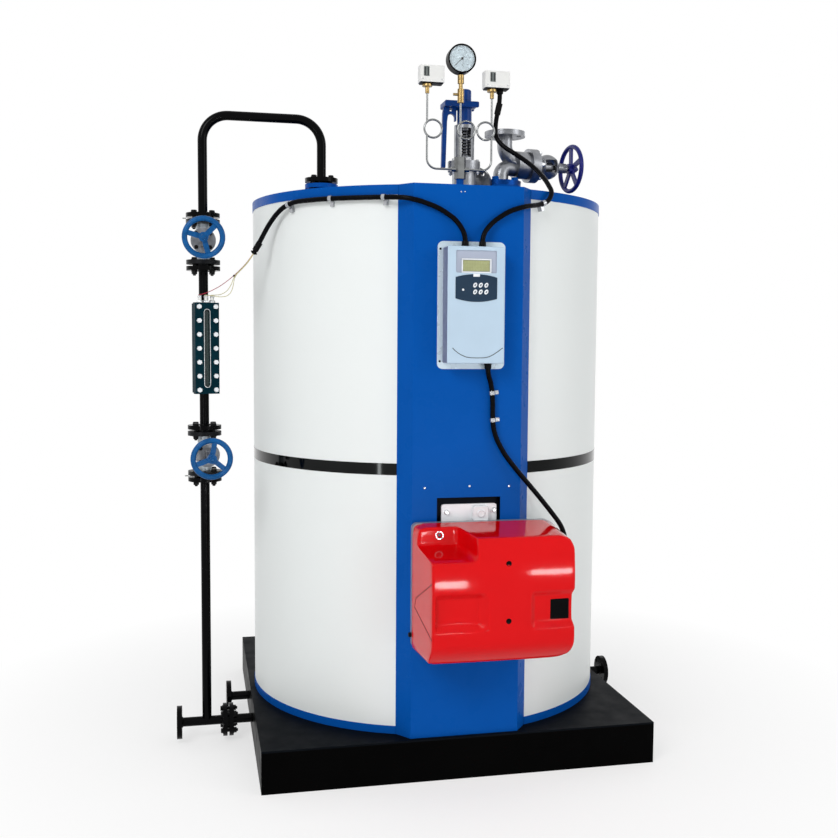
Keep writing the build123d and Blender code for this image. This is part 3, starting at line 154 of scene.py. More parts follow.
def fill(tree, node, inputs):
    """A node's inputs: a socket is linked, anything else is the value."""
    for name, value in inputs.items():
        if isinstance(value, bpy.types.NodeSocket):
            tree.links.new(value, node.inputs[name])
        else:
            node.inputs[name].default_value = value
    return node


def add_node(tree, kind, inputs, operation=None):
    """A new node with its inputs."""
    node = tree.nodes.new(kind)
    if operation:
        node.operation = operation
    return fill(tree, node, inputs)


def maths(tree, operation, *values):
    """One step of arithmetic on sockets and plain numbers."""
    return add_node(tree, "ShaderNodeMath", dict(enumerate(values)), operation).outputs["Value"]


def texture_place(tree):
    """Object coordinates, in metres."""
    return tree.nodes.new("ShaderNodeTexCoord").outputs["Object"]


def noise(tree, scale, detail=2.0):
    """Noise of so many cells a metre."""
    inputs = {"Vector": texture_place(tree), "Scale": scale, "Detail": detail}
    return add_node(tree, "ShaderNodeTexNoise", inputs).outputs["Fac"]


def spread(tree, value, low, high, start=0.3, end=0.7):
    """Noise's middle range taken to two bounds."""
    inputs = {"Value": value, "From Min": start, "From Max": end, "To Min": low, "To Max": high}
    return add_node(tree, "ShaderNodeMapRange", inputs).outputs["Result"]


def blend_colours(tree, value, first, second):
    """A mix of two colours, or of a colour and another mix."""
    mix = tree.nodes.new("ShaderNodeMix")
    mix.data_type = "RGBA"
    first, second = ((*colour, 1) if isinstance(colour, tuple) else colour for colour in (first, second))
    # Inputs 6 and 7 and output 2 are the colour sockets
    return fill(tree, mix, {"Factor": value, 6: first, 7: second}).outputs[2]


def relief(tree, shader, height, strength, depth):
    """Bump from a height, its depth in metres."""
    bump = add_node(tree, "ShaderNodeBump", {"Strength": strength, "Distance": depth, "Height": height})
    tree.links.new(bump.outputs["Normal"], shader.inputs["Normal"])


def shade(colour, factor):
    """A darker or lighter copy of a colour."""
    return tuple(min(1.0, part * factor) for part in colour)


def surface(name, colour, rough, metal=0.0, coat=0.0, coat_ior=1.5, spec=0.3, patch=6.0, vary=0.05, grain=900.0,
            grain_depth=0.0001, grain_strength=0.15, uneven=0.2):
    """A finish with slow colour change, uneven gloss and a fine grain."""
    material = bpy.data.materials.new(name)
    material.use_nodes = True
    tree = material.node_tree
    slow = spread(tree, noise(tree, patch, 3.0), 0, 1)
    shader = fill(tree, tree.nodes["Principled BSDF"], {
        "Metallic": metal, "Coat Weight": coat, "Coat IOR": coat_ior, "Coat Roughness": COAT_ROUGH,
        "Specular IOR Level": spec,
        "Base Color": blend_colours(tree, slow, shade(colour, 1 - vary), shade(colour, 1 + vary)),
        "Roughness": spread(tree, noise(tree, patch * 4, 4.0), rough * (1 - uneven), rough * (1 + uneven)),
    })
    relief(tree, shader, noise(tree, grain), grain_strength, grain_depth)
    material.diffuse_color = (*colour, 1)
    return material


def inside(tree, **spans):
    """One inside a box of object coordinates, each axis given by its two bounds."""
    split = add_node(tree, "ShaderNodeSeparateXYZ", {"Vector": texture_place(tree)})
    result = None
    for axis, (low, high) in spans.items():
        within = maths(tree, "COMPARE", split.outputs[axis], (low + high) / 2, (high - low) / 2)
        result = within if result is None else maths(tree, "MULTIPLY", result, within)
    return result


def paint_over(material, value, colour):
    """Another colour over a finish's own, as far as a value says."""
    tree = material.node_tree
    tone = tree.nodes["Principled BSDF"].inputs["Base Color"]
    tree.links.new(blend_colours(tree, value, tone.links[0].from_socket, colour), tone)


def screen_finish(name, colour, ink):
    """A plain liquid crystal screen with faint empty cells."""
    material = surface(name, colour, 0.25, coat=0.4, patch=20, vary=0.04, grain=2000)
    tree = material.node_tree
    split = add_node(tree, "ShaderNodeSeparateXYZ", {"Vector": texture_place(tree)})
    flat = add_node(tree, "ShaderNodeCombineXYZ", {"X": split.outputs["X"], "Y": split.outputs["Z"]})
    cells = add_node(tree, "ShaderNodeTexBrick", {
        "Vector": flat.outputs["Vector"], "Scale": 1, "Brick Width": 0.0052, "Row Height": 0.0115,
        "Mortar Size": 0.0006, "Color1": (0, 0, 0, 1), "Color2": (0.12, 0.12, 0.12, 1), "Mortar": (0.3, 0.3, 0.3, 1),
    })
    cells.offset = 0
    paint_over(material, cells.outputs["Color"], ink)
    return material


def clear_finish(name, colour, rough, clear):
    """Glass or translucent plastic with a faint haze."""
    material = surface(name, colour, rough, patch=25, vary=0.03, grain=300, grain_depth=0.00005)
    tree = material.node_tree
    fill(tree, tree.nodes["Principled BSDF"], {"Transmission Weight": clear, "IOR": 1.47})
    return material


def colour_setting(name, description, *display):
    """A colour that a user would change, its default in display values."""
    return bpy.props.FloatVectorProperty(
        name=name, description=description, subtype="COLOR", size=3, min=0, max=1, default=linear(*display))


def length_setting(name, description, default, low, high):
    """A length that a user would change, in metres."""
    return bpy.props.FloatProperty(
        name=name, description=description, subtype="DISTANCE", unit="LENGTH", default=default, min=low, max=high)


class SteamColours(bpy.types.PropertyGroup):
    """Colours that a user would change, each named for its finish."""

    casing_white: colour_setting("Casing white", "Paint of the round casing", 235, 239, 238)
    boiler_blue: colour_setting("Boiler blue", "Paint of the pilaster, crown and base", 6, 82, 168)
    burner_red: colour_setting("Burner red", "Moulded cover of the burner", 216, 2, 9)
    wheel_blue: colour_setting("Wheel blue", "Enamel of the level column's handwheels", 14, 82, 140)
    wheel_dark_blue: colour_setting("Steam wheel blue", "Enamel of the steam valve's handwheel", 24, 30, 112)
    safety_blue: colour_setting("Safety valve blue", "Enamel of the safety valve's cap and lever", 8, 60, 132)
    gauge_teal: colour_setting("Level gauge teal", "Paint of the level gauge", 6, 40, 50)
    pipe_black: colour_setting("Pipe black", "Paint of the black pipes and flanges", 3, 3, 4)
    plinth_black: colour_setting("Plinth black", "Paint of the plinth's channels", 2, 2, 2)
    controller_grey: colour_setting("Controller grey", "Moulding of the controller", 186, 208, 226)


class SteamSizes(bpy.types.PropertyGroup):
    """Sizes that a user would change."""

    flange_bolt: length_setting(
        "Flange bolt flats", "Width across the flats of the pipe flanges' bolts", 0.017, 0.008, 0.03)
    steam_bolt: length_setting(
        "Steam bolt flats", "Width across the flats of the steam flange's bolts", 0.024, 0.01, 0.03)
    bonnet_bolt: length_setting(
        "Bonnet bolt flats", "Width across the flats of the valve bonnets' bolts", 0.013, 0.006, 0.02)
    gauge_bolt: length_setting(
        "Gauge bolt flats", "Width across the flats of the level gauge's bolts", 0.015, 0.008, 0.024)
    sheet_screw: length_setting(
        "Sheet screw radius", "Head radius of the screws in the sheet metal", 0.004, 0.002, 0.01)
    dial_ticks: bpy.props.IntProperty(
        name="Dial ticks", description="Marks on the pressure gauge's dial", default=51, min=11, max=101)


# Display colour, or none where a setting gives it, then roughness and what else the surface has
PAINT = {
    "casing_white": (None, 0.3, dict(
        spec=0.06, patch=1.2, vary=0.008, grain=420, grain_depth=0.00005, uneven=0.03)),
    "band_steel": ((32, 33, 33), 0.07, dict(metal=1.0, patch=1.6, vary=0.4, grain=500, grain_depth=0.00005)),
    "boiler_blue": (None, 0.28, dict(spec=0.03, patch=3, vary=0.05, grain=480, grain_depth=0.00012, uneven=0.08)),
    "plinth_black": (None, 0.38, dict(spec=0.02, patch=5, vary=0.3, grain=260, grain_depth=0.0002)),
    "deck_black": ((12, 15, 19), 0.42, dict(spec=0.015, patch=4, vary=0.22, grain=240, grain_depth=0.0002)),
    "pipe_black": (None, 0.16, dict(spec=0.06, patch=14, vary=0.3, grain=380, grain_depth=0.00015)),
    "valve_silver": ((134, 136, 140), 0.34, dict(
        metal=0.9, patch=26, vary=0.28, grain=650, grain_depth=0.0005, grain_strength=0.4)),
    "gauge_valve_silver": ((176, 184, 190), 0.42, dict(
        metal=0.55, patch=30, vary=0.22, grain=650, grain_depth=0.0005, grain_strength=0.35)),
    "wheel_blue": (None, 0.26, dict(
        spec=0.14, patch=34, vary=0.2, grain=520, grain_depth=0.0005, grain_strength=0.35)),
    "wheel_dark_blue": (None, 0.3, dict(
        spec=0.18, patch=24, vary=0.14, grain=520, grain_depth=0.0003, grain_strength=0.25)),
    "safety_blue": (None, 0.32, dict(
        spec=0.15, patch=28, vary=0.14, grain=600, grain_depth=0.0004, grain_strength=0.3)),
    "gauge_teal": (None, 0.34, dict(spec=0.015, patch=22, vary=0.16, grain=420, grain_depth=0.0002)),
    "burner_red": (None, 0.08, dict(
        coat=1.0, coat_ior=1.22, spec=0.02, patch=4, vary=0.04, grain=260, grain_depth=0.00004)),
    "burner_seam": ((120, 18, 26), 0.4, dict(spec=0.05, patch=30, vary=0.1)),
    "burner_grey": ((158, 160, 164), 0.34, dict(metal=0.5, patch=12, vary=0.08)),
    "burner_aluminium": ((248, 250, 254), 0.36, dict(patch=18, vary=0.02, grain=700)),
    "controller_grey": (None, 0.36, dict(patch=8, vary=0.025, grain=1500)),
    "controller_plate": ((206, 222, 232), 0.3, dict(metal=0.2, patch=8, vary=0.03, grain=900)),
    "controller_keys": ((34, 54, 74), 0.4, dict(spec=0.15, patch=16, vary=0.05, grain=1800)),
    "gauge_steel": ((5, 5, 6), 0.3, dict(spec=0.05, patch=30, vary=0.2, grain=700)),
    "dial_white": ((222, 236, 244), 0.4, dict(spec=0.15, patch=30, vary=0.015, grain=1500)),
    "brass": ((154, 130, 84), 0.28, dict(metal=1.0, patch=60, vary=0.3, grain=900)),
    "siphon_steel": ((132, 134, 134), 0.2, dict(metal=1.0, patch=60, vary=0.12, grain=900, grain_strength=0.06)),
    "terminal_plated": ((226, 227, 224), 0.3, dict(metal=0.45, patch=50, vary=0.06)),
    "switch_white": ((232, 232, 229), 0.36, dict(patch=14, vary=0.02, grain=1500)),
    "spring_steel": ((96, 98, 102), 0.34, dict(metal=0.9, patch=40, vary=0.15)),
    "flue_steel": ((168, 172, 176), 0.4, dict(metal=0.85, patch=16, vary=0.14, grain=500, grain_depth=0.0002)),
    "conduit_black": ((4, 4, 7), 0.28, dict(spec=0.05, patch=30, vary=0.15, grain=800)),
    "clip_steel": ((172, 174, 178), 0.22, dict(metal=0.9, patch=40, vary=0.12)),
    "wire_red": ((166, 40, 62), 0.36, dict(patch=60, vary=0.08, grain=1500)),
    "wire_pale": ((206, 200, 150), 0.38, dict(patch=60, vary=0.08, grain=1500)),
    "bolt_black": ((6, 6, 7), 0.34, dict(spec=0.12, patch=60, vary=0.25)),
    "bolt_zinc": ((206, 208, 210), 0.26, dict(metal=0.85, patch=60, vary=0.1)),
    "gasket_grey": ((178, 180, 178), 0.6, dict(patch=60, vary=0.1)),
    "rubber_black": ((5, 5, 6), 0.45, dict(spec=0.08, patch=40, vary=0.15, grain=1200)),
    "ink_black": ((24, 26, 30), 0.45, dict(patch=60, vary=0.1)),
    "ink_grey": ((120, 126, 134), 0.45, dict(patch=60, vary=0.1)),
    "window_grey": ((104, 110, 108), 0.4, dict(patch=60, vary=0.1)),
    "key_pale": ((236, 240, 244), 0.4, dict(patch=60, vary=0.03)),
    "window_black": ((2, 2, 3), 0.2, dict(spec=0.05, patch=30, vary=0.2)),
}
# Clear pieces: display colour, roughness and how clear they are
CLEAR = {
    "sight_glass": ((60, 84, 82), 0.08, 0.55),
    "dial_glass": ((250, 252, 252), 0.02, 1.0),
    "sight_cap": ((246, 249, 252), 0.2, 0.1),
}
SCREEN_GROUND, SCREEN_INK = (166, 170, 122), (112, 118, 76)


def dark_ends(middle):
    """The dark end flanges of a level column's valve, by the height of its middle."""
    dark = (8, 10, 14)
    return ((dark, dict(Z=(middle + 0.0615, middle + 0.1))), (dark, dict(Z=(middle - 0.1, middle - 0.0615))))


# Solids in two colours: the finish of the whole, and each second colour with its box; the valves' dark ends and blue
# foot are paint, the boxes on the pilaster and the controller are painted shade
SECOND_PAINTS_AND_SHADES = {
    "upper_gauge_valve": ("gauge_valve_silver", dark_ends(UPPER_VALVE)),
    "lower_gauge_valve": ("gauge_valve_silver", dark_ends(LOWER_VALVE)),
    "steam_valve_body": ("valve_silver", (
        ((4, 52, 116), dict(Z=(1.99, 2.0145))),)),
    # Painted shade: the pilaster's recess behind the burner, painted near black
    "front_pilaster": ("boiler_blue", (
        ((3, 8, 20), dict(X=(-0.0985, 0.1125), Y=(-0.6542, -0.60), Z=(0.5445, 0.9255))),)),
    # Painted shade: the recessed panel round the screen painted greyer, and the housing's left side painted darker
    "controller_housing": ("controller_grey", (
        ((172, 180, 198), dict(X=(-0.060, 0.076), Y=(-0.7195, -0.70), Z=(1.62, 1.71))),
        ((104, 110, 140), dict(X=(-0.0865, -0.0838), Y=(-0.7185, -0.60), Z=(1.30, 1.80))))),
}
FINISHES = {}


def finish(name):
    """A finish by name, made when it is first asked for."""
    if name not in FINISHES:
        FINISHES[name] = make_finish(name)
    return FINISHES[name]


def make_finish(name):
    """The object's own finishes, with the painted shade that some of them carry."""
    if name == "controller_screen":
        return screen_finish(name, linear(*SCREEN_GROUND), linear(*SCREEN_INK))
    if name in CLEAR:
        display, rough, clear = CLEAR[name]
        return clear_finish(name, linear(*display), rough, clear)
    whole, second = SECOND_PAINTS_AND_SHADES.get(name, (name, ()))
    if whole not in PAINT:
        raise ValueError(f"no finish named {name}")
    display, rough, more = PAINT[whole]
    colour = linear(*display) if display else tuple(getattr(bpy.context.scene.steam_colours, whole))
    material = surface(name, colour, rough, **more)
    for display, spans in second:
        paint_over(material, inside(material.node_tree, **spans), linear(*display))
    return material


# Shapes


def facing(place, out):
    """A frame on a surface: its own Z looks out, its own X lies to the right."""
    out = out.normalized()
    right = (UP.cross(out) if abs(out.z) < 0.9 else RIGHT).normalized()
    up = out.cross(right)
    turn = Matrix((right, up, out)).transposed().to_4x4()
    return Matrix.Translation(place) @ turn


def turned(bm, profile, place, sides=24):
    """A turned shape: radius and reach pairs from one pole to the other, on a frame's Z."""
    rings = []
    for radius, reach in profile:
        spots = [polar(radius, 2 * math.pi * step / sides, reach) for step in range(sides if radius else 1)]
        rings.append([bm.verts.new(place @ spot) for spot in spots])
    close_rings(bm, rings, sides)


def close_rings(bm, rings, sides):
    """Faces between neighbouring rings of points; a ring of one point is a pole."""
    for low, high in zip(rings, rings[1:]):
        for step in range(sides):
            following = (step + 1) % sides
            corners = (low[step % len(low)], low[following % len(low)],
                       high[following % len(high)], high[step % len(high)])
            bm.faces.new(list(dict.fromkeys(corners)))


def close_shape(bm, rings):
    """Faces between neighbouring rings, and over the first and the last."""
    close_rings(bm, rings, len(rings[0]))
    bm.faces.new(list(reversed(rings[0])))
    bm.faces.new(rings[-1])


def stacked(bm, layers, place):
    """A closed shape from outlines at rising heights, all with the same number of points."""
    rings = [[bm.verts.new(place @ Vector((x, y, height))) for x, y in outline] for outline, height in layers]
    close_shape(bm, rings)


def oblong(width, height, corner, steps=5):
    """A round-cornered oblong outline."""
    points = []
    for quarter, (sx, sy) in enumerate(((1, 1), (-1, 1), (-1, -1), (1, -1))):
        for step in range(steps + 1):
            angle = math.pi / 2 * (quarter + step / steps)
            points.append((sx * (width / 2 - corner) + corner * math.cos(angle),
                           sy * (height / 2 - corner) + corner * math.sin(angle)))
    return points


def plate(bm, place, width, height, thick, corner, edge):
    """A round-cornered plate with its front edge eased."""
    inner = max(corner - edge, edge / 4)
    stacked(bm, [
        (oblong(width, height, corner), 0),
        (oblong(width, height, corner), thick - edge),
        (oblong(width - 2 * edge, height - 2 * edge, inner), thick),
    ], place)


def ribbon(bm, points, width, thick, out):
    """A flat strip along points, its width along the surface and its thickness outward."""
    out = Vector(out).normalized()
    rings = []
    for step, point in enumerate(points):
        before = points[max(step - 1, 0)]
        after = points[min(step + 1, len(points) - 1)]
        side = (Vector(after) - Vector(before)).normalized().cross(out) * width / 2
        point = Vector(point)
        corners = (point - side, point + side, point + side + out * thick, point - side + out * thick)
        rings.append([bm.verts.new(corner) for corner in corners])
    close_shape(bm, rings)


def tube(bm, points, radius, sides):
    """A round bar along points, with closed ends."""
    points = [Vector(point) for point in points]
    side = None
    rings = []
    for step, point in enumerate(points):
        way = (points[min(step + 1, len(points) - 1)] - points[max(step - 1, 0)]).normalized()
        if side is None:
            side = way.orthogonal().normalized()
        side = (side - way * side.dot(way)).normalized()
        other = way.cross(side)
        rings.append([
            bm.verts.new(point + radius * (side * math.cos(angle) + other * math.sin(angle)))
            for angle in (2 * math.pi * turn / sides for turn in range(sides))
        ])
    close_rings(bm, [[bm.verts.new(points[0])], *rings, [bm.verts.new(points[-1])]], sides)


def lathe(profile, sides=24):
    """A turned shape of its own, on the origin."""
    bm = bmesh.new()
    turned(bm, profile, Matrix(), sides)
    return bm


def hex_head(flats, height, washer=True):
    """A hexagon head on its washer, standing on the origin."""
    bm = bmesh.new()
    foot = 0.0
    if washer:
        foot = flats * 0.13
        turned(bm, [(0, 0), (flats * 0.66, 0), (flats * 0.66, foot * 0.8), (flats * 0.6, foot), (0, foot)], Matrix())
    corner = flats / math.sqrt(3)
    turned(bm, [(0, foot), (corner, foot), (corner, foot + height * 0.82), (corner * 0.86, foot + height),
                (0, foot + height)], Matrix(), sides=6)
    return bm


def hex_nut(flats, height):
    """A hexagon nut on its washer with the stud's end standing out of it."""
    bm = hex_head(flats, height)
    top = flats * 0.13 + height
    stud = flats * 0.31
    turned(bm, [(0, top - height / 2), (stud, top - height / 2), (stud, top + flats * 0.2),
                (stud * 0.8, top + flats * 0.28), (0, top + flats * 0.28)], Matrix(), sides=12)
    return bm


def round_screw(radius):
    """A domed screw head with a socket."""
    shares = ((0, -0.2), (1, -0.2), (1, 0.18), (0.86, 0.42), (0.6, 0.56), (0.42, 0.58), (0.36, 0.2), (0, 0.2))
    return lathe([(radius * out, radius * reach) for out, reach in shares], sides=16)


# Pieces


def settle(piece, finish_name, body):
    """Shading, finish and body of a finished piece."""
    mesh = piece.data
    mesh.materials.clear()
    mesh.materials.append(finish(finish_name))
    mesh.shade_smooth()
    mesh.set_sharp_from_angle(angle=SMOOTH_ANGLE)
    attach(piece, body)
    return piece


def link(name, data):
    """A new object in the scene."""
    piece = bpy.data.objects.new(name, data)
    bpy.context.scene.collection.objects.link(piece)
    return piece


def piece_from(bm, name, finish_name):
    """A finished piece from a built mesh."""
    bmesh.ops.recalc_face_normals(bm, faces=bm.faces)
    mesh = bpy.data.meshes.new(name)
    bm.to_mesh(mesh)
    bm.free()
    return settle(link(name, mesh), finish_name, BOILER)


def piece_of(name, finish_name, slot_name, build, *values, **options):
    """A finished piece from one built shape."""
    bm = bmesh.new()
    build(bm, *values, **options)
    return piece_from(bm, name, finish_name)


def fastener_tree():
    """Geometry Nodes: one fastener on every seat, looking along the seat's aim."""
    tree = bpy.data.node_groups.get("fasteners")
    if tree:
        return tree
    tree = bpy.data.node_groups.new("fasteners", "GeometryNodeTree")
    sockets = (("Geometry", "Geometry", None), ("Fastener", "Object", None), ("Size", "Float", 1.0),
               ("Turn", "Float", math.pi), ("Seed", "Int", FASTENER_SEED), ("Finish", "Material", None))
    for name, kind, default in sockets:
        socket = tree.interface.new_socket(name, in_out="INPUT", socket_type="NodeSocket" + kind)
        if default is not None:
            socket.default_value = default
    tree.interface.new_socket("Geometry", in_out="OUTPUT", socket_type="NodeSocketGeometry")
    given = tree.nodes.new("NodeGroupInput").outputs
    aim = add_node(tree, "GeometryNodeInputNamedAttribute", {"Name": "aim"})
    aim.data_type = "FLOAT_VECTOR"
    align = add_node(tree, "FunctionNodeAlignRotationToVector", {"Vector": aim.outputs["Attribute"]})
    align.axis = "Z"
    chance = tree.nodes.new("FunctionNodeRandomValue")
    chance.data_type = "FLOAT"
    # Input 3 is the largest float and output 1 the float
    fill(tree, chance, {3: given["Turn"], "Seed": given["Seed"]})
    spin = add_node(tree, "FunctionNodeAxisAngleToRotation", {"Axis": (0, 0, 1), "Angle": chance.outputs[1]})
    rotate = add_node(tree, "FunctionNodeRotateRotation", {
        "Rotation": align.outputs["Rotation"], "Rotate By": spin.outputs["Rotation"]})
    rotate.rotation_space = "LOCAL"
    shape = add_node(tree, "GeometryNodeObjectInfo", {"Object": given["Fastener"]})
    place = add_node(tree, "GeometryNodeInstanceOnPoints", {
        "Points": given["Geometry"], "Instance": shape.outputs["Geometry"],
        "Rotation": rotate.outputs["Rotation"], "Scale": given["Size"]})
    real = add_node(tree, "GeometryNodeRealizeInstances", {"Geometry": place.outputs["Instances"]})
    painted = add_node(tree, "GeometryNodeSetMaterial", {
        "Geometry": real.outputs["Geometry"], "Material": given["Finish"]})
    add_node(tree, "NodeGroupOutput", {"Geometry": painted.outputs["Geometry"]})
    return tree


def made_by(tree, seed_mesh, name, inputs):
    """The plain mesh that a node tree makes from a seed mesh."""
    holder = link(name, seed_mesh)
    modifier = holder.modifiers.new("nodes", "NODES")
    modifier.node_group = tree
    for item in tree.interface.items_tree:
        if item.item_type == "SOCKET" and item.in_out == "INPUT" and item.name in inputs:
            modifier[item.identifier] = inputs[item.name]
    holder.update_tag()
    graph = bpy.context.evaluated_depsgraph_get()
    mesh = bpy.data.meshes.new_from_object(holder.evaluated_get(graph), depsgraph=graph)
    holder.modifiers.remove(modifier)
    aim = mesh.attributes.get("aim")
    if aim:
        mesh.attributes.remove(aim)
    mesh.name = name
    holder.data = mesh
    return holder


def scatter(name, shape, seats, finish_name, body=BOILER, turn=0.0):
    """Like fasteners on a list of seats, each a place and the way it looks."""
    if not seats:
        raise ValueError(f"{name} has no seats")
    shape_mesh = bpy.data.meshes.new(name + "_shape")
    bmesh.ops.recalc_face_normals(shape, faces=shape.faces)
    shape.to_mesh(shape_mesh)
    shape.free()
    shape_object = link(name + "_shape", shape_mesh)
    seed = bpy.data.meshes.new(name + "_seats")
    seed.from_pydata([place for place, _ in seats], [], [])
    aims = seed.attributes.new("aim", "FLOAT_VECTOR", "POINT")
    aims.data.foreach_set("vector", [part for _, aim in seats for part in Vector(aim).normalized()])
    holder = made_by(fastener_tree(), seed, name, {
        "Fastener": shape_object, "Size": 1.0, "Turn": turn, "Seed": FASTENER_SEED, "Finish": finish(finish_name),
    })
    bpy.data.objects.remove(shape_object)
    return settle(holder, finish_name, body)


def round_seats(centre, axis, radius, count, start):
    """Places on a bolt circle, all looking along its axis."""
    here = facing(centre, axis)
    return [(here @ polar(radius, start + 2 * math.pi * step / count), axis) for step in range(count)]


# Stage


def lamp(name, place, target, wide, tall, power):
    """A softbox that looks at a target."""
    data = bpy.data.lights.new(name, "AREA")
    data.shape = "RECTANGLE"
    data.size = wide
    data.size_y = tall
    data.energy = power
    lamp_object = link(name, data)
    lamp_object.visible_camera = False
    lamp_object.location = place
    lamp_object.rotation_euler = (Vector(target) - Vector(place)).to_track_quat("-Z", "Y").to_euler()


def seen_rays(tree):
    """One for a ray that shows a surface to the camera directly, in a mirror or through glass."""
    path = tree.nodes.new("ShaderNodeLightPath").outputs
    seen = maths(tree, "MAXIMUM", path["Is Camera Ray"], path["Is Glossy Ray"])
    return maths(tree, "MAXIMUM", seen, path["Is Transmission Ray"])


def floor_finish():
    """A pale floor that takes the object's shadow and runs out into white further off."""
    material = surface("floor_pale", linear(252, 252, 252), 0.7, patch=0.4, vary=0.008, grain=40)
    tree = material.node_tree
    away = add_node(tree, "ShaderNodeVectorMath", {0: texture_place(tree)}, "LENGTH")
    far = spread(tree, away.outputs["Value"], FLOOR_WHITE, 1, FLOOR_NEAR, FLOOR_FAR)
    white = tree.nodes.new("ShaderNodeEmission")
    # Inputs 1 and 2 are the two shaders
    mix = add_node(tree, "ShaderNodeMixShader", {
        "Fac": maths(tree, "MULTIPLY", far, seen_rays(tree)),
        1: tree.nodes["Principled BSDF"].outputs["BSDF"], 2: white.outputs["Emission"]})
    tree.links.new(mix.outputs["Shader"], tree.nodes["Material Output"].inputs["Surface"])
    return material


def add_camera(scene):
    """The photograph's camera."""
    turn, down, roll = (math.radians(a) for a in (CAMERA_TURN, CAMERA_DOWN, CAMERA_ROLL))
    ahead = Vector((-math.sin(turn) * math.cos(down), math.cos(turn) * math.cos(down), -math.sin(down)))
    right = Vector((math.cos(turn), math.sin(turn), 0))
    up = right.cross(ahead)
    right, up = right * math.cos(roll) + up * math.sin(roll), up * math.cos(roll) - right * math.sin(roll)
    data = bpy.data.cameras.new("camera")
    data.sensor_width = SENSOR
    data.lens = FOCAL_PIXELS / IMAGE_SIDE * SENSOR
    data.shift_x = (IMAGE_SIDE / 2 - MIDDLE_PIXEL[0]) / IMAGE_SIDE
    data.shift_y = (MIDDLE_PIXEL[1] - IMAGE_SIDE / 2) / IMAGE_SIDE
    camera = link("camera", data)
    camera.matrix_world = Matrix.Translation(CAMERA_PLACE) @ Matrix((right, up, -ahead)).transposed().to_4x4()
    scene.camera = camera


def add_floor():
    """A wide plain floor."""
    mesh = bpy.data.meshes.new("floor")
    corners = [(x * FLOOR_REACH, y * FLOOR_REACH, 0) for x, y in ((-1, -1), (1, -1), (1, 1), (-1, 1))]
    mesh.from_pydata(corners, [], [(0, 1, 2, 3)])
    floor = link("floor", mesh)
    mesh.materials.append(floor_finish())


def add_world(scene):
    """A white world that lights the object softly."""
    world = bpy.data.worlds.new("studio")
    scene.world = world
    world.use_nodes = True
    tree = world.node_tree
    backdrop = tree.nodes["Background"]
    backdrop.inputs["Color"].default_value = (1, 1, 1, 1)
    strength = spread(tree, seen_rays(tree), WORLD_LIGHT, WORLD_SEEN, 0, 1)
    tree.links.new(strength, backdrop.inputs["Strength"])


def build_stage():
    """Camera, floor, world and soft lamps."""
    scene = bpy.context.scene
    scene.view_settings.view_transform = "Standard"
    add_camera(scene)
    add_floor()
    add_world(scene)
    for name, row in LAMPS.items():
        lamp(name, *row)


# Finishes of the solids


def paint_solids():
    """Every CAD solid gets its own finish or the one of its slot."""
    for row in frame["record"]["subparts"]:
        mesh = frame["nodes"][row["node"]].data
        mesh.materials.clear()
        mesh.materials.append(finish(row["node"] if row["node"] in SECOND_PAINTS_AND_SHADES else row["material_slot"]))


# Probe wires

WIRE_RADIUS = 0.0012
WIRES = {
    "red_probe_wire": ("wire_red", 0.250, [
        (-657, -282, 1715), (-671, -273, 1693), (-694, -257, 1667), (-719, -239, 1643), (-746, -230, 1621),
        (-772, -220, 1603), (-798, -209, 1590), (-820, -200, 1581), (-838, -191, 1577.5)]),
    "near_probe_wire": ("wire_pale", 0.237, [
        (-656, -285, 1715), (-671, -276, 1691), (-694, -259, 1665), (-718.4, -241.7, 1641), (-727, -235, 1614),
        (-740, -225, 1592), (-762, -208, 1579), (-780, -192, 1578), (-796, -179, 1577.5)]),
    "far_probe_wire": ("wire_pale", 0.265, [
        (-654, -282, 1715), (-669, -273, 1691), (-692, -256, 1665), (-716.5, -239, 1641), (-721, -236, 1610),
        (-728, -230, 1586), (-742, -220, 1574), (-760, -213, 1571), (-776, -206, 1572), (-798, -196, 1577),
        (-817, -185, 1577.5)]),
}


def build_wires():
    """Three thin wires from the conduit's end to the level gauge's terminals."""
    for node_name, (finish_name, length, route) in WIRES.items():
        data = bpy.data.curves.new(node_name + "_line", "CURVE")
        data.dimensions = "3D"
        data.bevel_depth = WIRE_RADIUS
        data.bevel_resolution = 2
        data.resolution_u = 8
        data.use_fill_caps = True
        line = data.splines.new("NURBS")
        line.points.add(len(route) - 1)
        for point, place in zip(line.points, route):
            point.co = (*mm(*place), 1)
        line.order_u = 3
        line.use_endpoint_u = True
        data.materials.append(finish(finish_name))
        wire = link(node_name + "_line", data)
        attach(wire, BOILER)
        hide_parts(node_name)


# Small fittings

# Bolt circle and half the thickness of the pipes' flanged joints
PIPE_CIRCLE, PIPE_HALF = 0.0425, 0.018


def joint_seats(middle, axis, radius, count, start, half):
    """Seats on the two outer faces of a flanged joint."""
    heads = round_seats(middle + axis * half, axis, radius, count, math.radians(start))
    nuts = [(spot - 2 * half * axis, -axis) for spot, _ in heads]
    return heads, nuts


def joint_bolts(name, head, nut, seats, finish_name):
    """Heads on one side of flanged joints and nuts on the other."""
    heads, nuts = seats
    scatter(name + "_heads", head, heads, finish_name, turn=HEX_TURN)
    scatter(name + "_nuts", nut, nuts, finish_name, turn=HEX_TURN)


